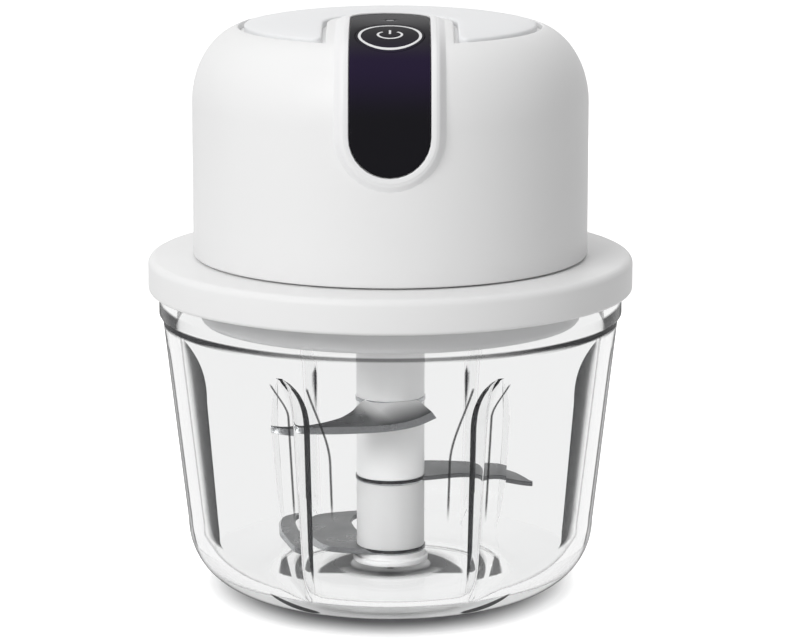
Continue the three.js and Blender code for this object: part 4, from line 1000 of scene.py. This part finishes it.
def lid_piece():
    spigot = SHELL - SHELL_WALL - 0.25
    inner = spigot - 1.3
    profile = fillet([
        (5.8, PLUG_BOTTOM, 0.3), (PLUG_RADIUS, PLUG_BOTTOM, 1.2), (PLUG_RADIUS, LID_UNDER, 0.2),
        (BOWL_RIM + 0.4, LID_UNDER, 0.3), (BOWL_RIM + 0.4, 60.0, 0.4), (LID_RADIUS, 60.0, 0.8),
        (LID_RADIUS, LID_TOP, 1.5), (spigot, LID_TOP, 0.15), (spigot, 69.5, 0.3), (inner, 69.5, 0.3),
        (inner, 56.5, 0.5), (5.8, 56.5, 0.2)], 8)
    data = revolve(profile, 192).mesh("lid_flange")
    lid = piece("lid_flange", "motor_head", data, WHITE, ["lid"])
    well = revolve([(0, 53.0), (2.95, 53.0), (2.95, 56.6), (1.65, 56.6), (1.65, 60.0), (0, 60.0)], 40)
    wells = Build()
    for k in range(4):
        a = math.radians(45 + 90 * k)
        wells.merge(well, SCREW_CIRCLE * math.cos(a), SCREW_CIRCLE * math.sin(a))
    carve(lid, wells)
    sharpen(lid.data)
    # The plug's faces under the lid take the painted shade
    lid.data.materials.append(PLUG_PAINTED_SHADE)
    for face in lid.data.polygons:
        x, y, z = (c / MM for c in face.center)
        if z < LID_UNDER + 0.1 and math.hypot(x, y) < PLUG_RADIUS + 0.1:
            face.material_index = 1


# Head
SEAM_EDGE = 0.45
CROWN_SPACING = 1.3
# Width, height, corner, inner and outer radius of what the port takes out of the rear wall
PORT_SEAT = (15.7, 9.5, 3.0, 37.5, 44)
PORT_HOLE = (12.6, 6.8, 2.4, 30, 44)


def recess_line():
    """The outline of the cap's seat in the crown."""
    back = math.degrees(math.asin(PLATEAU / CAP_SEAT_RADIUS))
    line = arc(0, 0, CAP_SEAT_RADIUS, -90 + back, 270 - back, 150)
    return dense([*line, *arc(0, -NOTCH_BACK, PLATEAU, 180, 0, 48)], 1.2)


def cap_line():
    x = NOTCH + CAP_CORNER
    y = -math.sqrt((CAP_RADIUS - CAP_CORNER) ** 2 - x * x)
    lean = math.degrees(math.atan2(-y, x))
    points = arc(0, 0, CAP_RADIUS, -lean, 180 + lean, 150)
    points += arc(-x, y, CAP_CORNER, 180 + lean, 360, 10)[1:]
    points += arc(0, -NOTCH_BACK, NOTCH, 180, 0, 48)
    points += arc(x, y, CAP_CORNER, 180, 360 - lean, 10)[:-1]
    return dense(points, 1.2)


def head_piece():
    build = Build()
    turns = around(192)
    join = CAP_SEAT_RADIUS + 1.1
    start = math.acos((join - SHOULDER_CENTRE) / SHOULDER_WIDTH)
    profile = [(SHELL - SHELL_WALL, SHELL_BOTTOM), (SHELL - 0.5, SHELL_BOTTOM)]
    profile += arc(SHELL - 0.5, SHELL_BOTTOM + 0.5, 0.5, -90, 0, 4)[1:]
    profile += [(SHELL, z) for z in np.linspace(SHELL_BOTTOM + 0.5, SHOULDER_BOTTOM, 8)[1:]]
    profile += shoulder(np.linspace(0, start, 44)[1:])
    rows = [build.ring(r, z, turns) for r, z in profile]
    build.bridge_all(rows)
    rim_flat = [(join * math.cos(a), join * math.sin(a)) for a in turns]
    line = counter_clockwise(recess_line())

    def crown(x, y, height=0.0):
        return (x, y, head_height(math.hypot(x, y)) + height)
    loops = []
    for a in np.linspace(math.pi / 2, 0, 5):
        flat = inset(line, -SEAM_EDGE * (1 - math.cos(a)))
        loops.append((build.add([crown(x, y, -SEAM_EDGE * (1 - math.sin(a))) for x, y in flat]), flat))
    build.fill([(rows[-1], rim_flat), loops[0]], crown, CROWN_SPACING)
    seat = build.add([crown(x, y, -SEAM_DEPTH) for x, y in line])
    build.bridge_all([row for row, _ in loops] + [seat])
    build.fill([(seat, line)], lambda x, y: crown(x, y, -SEAM_DEPTH), CROWN_SPACING)
    roof = head_height(CAP_RADIUS) - ROOF_DROP
    inner_rows = [rows[0], build.ring(SHELL - SHELL_WALL, SHOULDER_BOTTOM, turns)]
    inner_rows += [build.ring(r, z, turns) for r, z in
                   arc(SHOULDER_CENTRE, SHOULDER_BOTTOM, SHOULDER_WIDTH - SHELL_WALL, 0, 90, 20,
                       roof - SHOULDER_BOTTOM)[1:]]
    build.bridge_all(inner_rows, flip=True)
    build.close(inner_rows[-1], flip=True)
    data = build.mesh("head_dome")
    head = piece("head_dome", "motor_head", data, WHITE, ["head_shell"])
    for tool in (rear_block(*PORT_SEAT), rear_block(*PORT_HOLE), key_well()):
        carve(head, tool)
    dress_normals(head.data)


def rear(u, v, radius):
    """A point on the rear wall: across it, above the port's middle, and at a radius."""
    angle = math.pi / 2 - math.asin(u / SHELL)
    return (radius * math.cos(angle), radius * math.sin(angle), PORT_HEIGHT + v)


def rear_block(width, height, corner, inner, outer):
    """A rounded block through the rear wall, between two radii."""
    build = Build()
    flat = dense(rounded_rectangle(width, height, corner), 1.0)
    near, far = (build.add([rear(u, v, radius) for u, v in flat]) for radius in (inner, outer))
    build.bridge(near, far)
    build.fill([(far, flat)], lambda u, v: rear(u, v, outer), 1.5)
    build.fill([(near, flat)], lambda u, v: rear(u, v, inner), 1.5, flip=True)
    return build


def dress_normals(data):
    """Gives the dome's wall the normals of its true curve, so that cuts leave no mark on it."""
    sharpen(data)
    normals = [tuple(n.vector) for n in data.corner_normals]
    for face in data.polygons:
        for k in face.loop_indices:
            x, y, z = (c / MM for c in data.vertices[data.loops[k].vertex_index].co)
            on_wall = abs(math.hypot(x, y) - SHELL) < 0.01
            if on_wall and SHELL_BOTTOM + 0.6 < z < SHOULDER_BOTTOM + 0.01:
                true = Vector((x, y, 0)).normalized()
                if true.dot(face.normal) > 0.97:
                    normals[k] = tuple(true)
    data.normals_split_custom_set(normals)


def cap_piece():
    plate("top_plate", "motor_head", [cap_line()],
          lambda x, y, h: (x, y, head_height(min(math.hypot(x, y), CAP_SEAT_RADIUS)) + h),
          0.0, -SEAM_DEPTH, SEAM_EDGE, CAP_WHITE, ["top_cap"], CROWN_SPACING)


# Control strip
BORDER_INNER = 7.72
BORDER_OUTER = 10.9
BORDER_SLOPE = 1.9


def pill_stations():
    """Round the pill's outline: a direction and the place on the middle line it springs from."""
    ends, runs = 16, 34
    stations = []
    for turn, here, there in ((90, STRIP_END, STRIP_START), (270, STRIP_START, STRIP_END)):
        stations += [(x, y, here) for x, y in arc(0, 0, 1, turn - 90, turn + 90, ends)]
        side = -1.0 if turn == 90 else 1.0
        stations += [(side, 0.0, c) for c in np.linspace(here, there, runs + 1)[1:-1]]
    return stations


def border_piece():
    """The white raised border round the strip, which runs out softly on the dome."""
    under = [(BORDER_INNER, -1.6), (BORDER_OUTER + 0.05, -3.2)]
    lip = arc(8.6, 0.5, 0.45, 40, 90, 4, 0.34) + arc(7.97, 0.62, 0.22, 90, 180, 4)
    build = Build()
    rows = []
    for dx, dy, c in pill_stations():
        foot = surface_height(dx * BORDER_OUTER, c + dy * BORDER_OUTER) - 0.08
        slope = [(BORDER_OUTER - BORDER_SLOPE * t, foot + (0.7 - foot) * smoothstep(t))
                 for t in np.linspace(0, 0.95, 12)]
        rows.append(build.add([on_front(dx * w, c + dy * w, h) for w, h in under + slope + lip]))
    build.bridge_all(rows + rows[:1])
    data = build.mesh("strip_border")
    data.flip_normals()
    sharpen(data, 40)
    piece("strip_border", "motor_head", data, BEZEL_WHITE)


# Key. It travels square to the strip at its middle.
KEY_SPOT = front_at(KEY_ALONG)
KEY_NORMAL = front_normal(KEY_ALONG)
KEY_RUN = np.array([KEY_NORMAL[1], -KEY_NORMAL[0]])
KEY_OFFSET = FRONT_POINTS - KEY_SPOT
# How its plan is drawn out ahead, behind and to the sides
KEY_AHEAD = 1.06
KEY_BEHIND = 1.27
KEY_SHIFT = 0.9
KEY_WELL_FLOOR = -3.1
KEY_WELL_TOP = 3.0
MARK_TOP = STRIP_PROUD + 0.04


def sunk(point, depth):
    """A point moved along the key's travel."""
    return (point[0], point[1] + KEY_NORMAL[0] * depth, point[2] - KEY_NORMAL[1] * depth)


def key_hole_wall(across, along, height):
    return sunk(on_front(across, along, STRIP_PROUD), STRIP_PROUD - height)


def on_key(across, ahead, height):
    """A point over the key's plan, laid square on the strip: across, ahead of its middle, above it."""
    if height < STRIP_PROUD:
        return sunk(on_key(across, ahead, STRIP_PROUD), STRIP_PROUD - height)
    rise = np.interp(ahead, KEY_OFFSET @ KEY_RUN, KEY_OFFSET @ KEY_NORMAL)
    lean = front_normal(np.interp(ahead, KEY_OFFSET @ KEY_RUN, FRONT_ALONG))
    flat = KEY_SPOT + KEY_RUN * ahead + KEY_NORMAL * rise + lean * height
    return (across, -flat[0], flat[1])


def key_plan(radius):
    """The key's plan, drawn out so that it looks evenly oval from the front."""
    return [(x, y * (KEY_AHEAD if y > 0 else KEY_BEHIND) + KEY_SHIFT * (x / radius) ** 2)
            for x, y in circle(0, radius, 96)]


def key_well():
    """The room in the head that the key travels in."""
    build = Build()
    rows = []
    for level in (KEY_WELL_FLOOR, KEY_WELL_TOP):
        flat = [(x, KEY_SPOT + KEY_RUN * y + KEY_NORMAL * level)
                for x, y in key_plan(KEY_RADIUS + 0.25)[::-1]]
        rows.append(build.add([(x, -f[0], f[1]) for x, f in flat]))
    build.bridge(*rows)
    build.close(rows[0], flip=True)
    build.close(rows[1])
    return build


def strip_pieces():
    outline = dense([(dx * STRIP_HALF, c + dy * STRIP_HALF) for dx, dy, c in pill_stations()], 1.0)
    key_hole = [(x, float(np.interp(y, KEY_OFFSET @ KEY_RUN, FRONT_ALONG)))
                for x, y in key_plan(KEY_RADIUS + 0.1)]
    plate("strip_glass", "motor_head", [outline, key_hole, circle(LAMP_ALONG, 0.86, 24)], on_front,
          STRIP_PROUD, -0.6, 0.12, STRIP_BLACK, ["control_strip"], 1.1,
          hole_walls=key_hole_wall)
    plate("key_face", "key", [key_plan(KEY_RADIUS)], on_key, STRIP_PROUD, -0.4, 0.08, STRIP_BLACK,
          ["power_key"], 1.1)
    plate("lamp_face", "motor_head", [circle(LAMP_ALONG, 0.8, 24)], on_front, STRIP_PROUD, -2.6, 0.1,
          LAMP_GREY, ["lamp_lens"], 0.5)
    gap = 38
    broken = arc(0, 0, 2.5, -90 + gap, 270 - gap, 40) + arc(0, 0, 2.05, 270 - gap, -90 + gap, 40)
    bar = dense([(-0.22, -3.0), (0.22, -3.0), (0.22, -0.4), (-0.22, -0.4)], 0.4)
    for name, loops in (("key_ring_mark", [key_plan(6.06), key_plan(5.52)]), ("key_arc_mark", [broken]),
                        ("key_bar_mark", [bar])):
        plate(name, "key", loops, on_key, MARK_TOP, 0.5, 0.02, PRINT_WHITE, spacing=None,
              edge_steps=1)


# The port's flap, the pin and its bush, and the seals
def small_pieces():
    outline = dense(rounded_rectangle(15.0, 8.8, 3.0), 0.8)
    plate("port_flap", "port_cover", [outline], lambda u, v, h: rear(u, v, SHELL + h), 0.3, -1.2, 0.35,
          SOFT_WHITE, ["usb_cover"])
    post = fillet([(0, 2.4, 0), (2.5, 2.4, 0.1), (2.5, 14.8, 0.9), (0, 14.8, 0)])
    turned("pin_post", "bowl_base", post, ZINC, ["spindle_pin"], 64)
    bush = fillet([(2.65, 4.15, 0.08), (5.2, 4.15, 0.15), (5.2, 4.95, 0.15), (3.55, 4.95, 0.1),
                   (3.55, 16.75, 0.15), (2.65, 16.75, 0.1)], 4)
    turned("bush_sleeve", "cutter_bush", bush, ZINC, ["hub_bush"], 64)
    seal = fillet([(38.1, 60.8, 0.2), (40.5, 60.8, 0.1), (42.25, 61.3, 0.3), (42.25, 62.0, 0.3),
                   (40.5, 62.3, 0.15), (42.25, 62.8, 0.3), (42.25, 63.5, 0.3), (40.5, 63.78, 0.05),
                   (38.1, 63.78, 0.1)], 4)
    turned("rim_seal", "motor_head", seal, SOFT_WHITE, ["lid_seal"], 160)
    neck = fillet([(4.35, 54.5, 0.1), (5.7, 54.5, 0.2), (5.7, 56.5, 0.1), (6.8, 56.5, 0.1),
                   (6.8, 57.3, 0.2), (4.35, 57.3, 0.1)], 4)
    turned("neck_seal", "motor_head", neck, SOFT_WHITE, ["shaft_seal"], 64)


# What the CAD nodes that stay are finished in
NODE_LOOKS = (
    (NYLON, "hub_core drive_coupler cell_holder motor_end_cap motor_mount"),
    (ZINC, "motor_shaft usb_socket motor_can motor_bearing_lower motor_bearing_upper motor_screw_left"),
    (ZINC, "motor_screw_right lid_screw_1 lid_screw_2 lid_screw_3 lid_screw_4"),
    (IRON, "armature_core"),
    (COPPER, "commutator winding_1 winding_2 winding_3"),
    (BOARD_GREEN, "switch_board main_board"),
    (CARBON, "tact_switch motor_brush_front motor_brush_rear"),
    (MAGNET, "motor_magnet_left motor_magnet_right"),
    (CELL_BLUE, "battery_cell_left battery_cell_right"),
)


def finish_nodes():
    for material, names in NODE_LOOKS:
        for name in names.split():
            data = frame["nodes"][name].data
            data.materials.clear()
            data.materials.append(material)


# Stage
FLOOR_HALF = 4.0
FLOOR_DROP = 0.05 * MM
FLOOR_WHITE = (0.8, 0.8, 0.8)
# Painted shadow: the floor's colour near the bowl and the distances over which it fades to white
FLOOR_SHADOW = (0.12, 0.12, 0.125)
FLOOR_GLOW = 0.72
SHADOW_START = 31.1 * MM
SHADOW_END = 47.5 * MM
ROOM_LIGHT = 0.38


def floor():
    """A white floor that keeps the object's shadow and has a painted shadow round the bowl's foot. It
    is plain white in glass and metal.
    """
    data = bpy.data.meshes.new("floor")
    corners = [(x * FLOOR_HALF, y * FLOOR_HALF, -FLOOR_DROP)
               for x, y in ((-1, -1), (1, -1), (1, 1), (-1, 1))]
    data.from_pydata(corners, [], [(0, 1, 2, 3)])
    obj = bpy.data.objects.new("floor", data)
    bpy.context.scene.collection.objects.link(obj)
    material, tree, sockets = shader("floor_white", FLOOR_WHITE, 0.9, specular=0.0)
    rays = tree.nodes.new("ShaderNodeLightPath").outputs
    length = tree.nodes.new("ShaderNodeVectorMath")
    length.operation = "LENGTH"
    feed(tree, length.inputs[0], coordinates(tree, (1.15, 1, 1), (0, -MM, 0)))
    # Painted shadow: darker and less glowing near the bowl's foot
    away = ramp(tree, length.outputs["Value"], SHADOW_START, SHADOW_END)
    bent = highest(tree, rays["Is Glossy Ray"], rays["Is Transmission Ray"])
    near = tint(tree, away, FLOOR_SHADOW, FLOOR_WHITE)
    feed(tree, sockets["Base Color"], tint(tree, bent, near, (0, 0, 0)))
    seen = product(tree, rays["Is Camera Ray"], away, FLOOR_GLOW)
    sockets["Emission Color"].default_value = (1, 1, 1, 1)
    feed(tree, sockets["Emission Strength"], calc(tree, "ADD", seen, bent))
    data.materials.append(material)


def lamp(name, place, size, power):
    """A square lamp that aims at the object's middle."""
    data = bpy.data.lights.new(name, "AREA")
    data.shape = "RECTANGLE"
    data.size = data.size_y = size
    data.energy = power
    obj = bpy.data.objects.new(name, data)
    obj.location = place
    aim = Vector((0, 0, 0.06)) - Vector(place)
    obj.rotation_euler = aim.to_track_quat("-Z", "Y").to_euler()
    bpy.context.scene.collection.objects.link(obj)


def world():
    """White where it is seen, directly or in glass and metal, and dimmer as a light."""
    made = bpy.data.worlds.new("studio")
    made.use_nodes = True
    tree = made.node_tree
    back = tree.nodes["Background"].inputs
    back["Color"].default_value = (1, 1, 1, 1)
    rays = tree.nodes.new("ShaderNodeLightPath").outputs
    seen = highest(tree, rays["Is Camera Ray"], rays["Is Glossy Ray"], rays["Is Transmission Ray"])
    feed(tree, back["Strength"], ramp(tree, seen, 0.0, 1.0, ROOM_LIGHT, 1.0, "LINEAR"))
    bpy.context.scene.world = made


def camera():
    """The photograph's view, fitted in pixels of its 799 wide frame."""
    data = bpy.data.cameras.new("camera")
    data.sensor_width = 36
    data.lens = 36 * 3645 / 799
    data.clip_start = 0.05
    data.clip_end = 50
    obj = bpy.data.objects.new("camera", data)
    obj.location = (0.0018, -0.711, 0.199)
    obj.rotation_euler = (math.radians(90) - 0.202, 0, 0)
    bpy.context.scene.collection.objects.link(obj)
    bpy.context.scene.camera = obj


camera()
floor()
world()
lamp("key_light", (-0.78, -1.15, 0.9), 0.8, 14)
lamp("top_light", (-0.1, 0.2, 1.4), 1.2, 6)
bowl_piece()
for label, sizes in BLADES.items():
    blade_piece(label, **sizes)
hub_pieces()
lid_piece()
head_piece()
cap_piece()
border_piece()
strip_pieces()
small_pieces()
finish_nodes()

bpy.context.scene.view_settings.view_transform = "Standard"
bpy.context.view_layer.update()
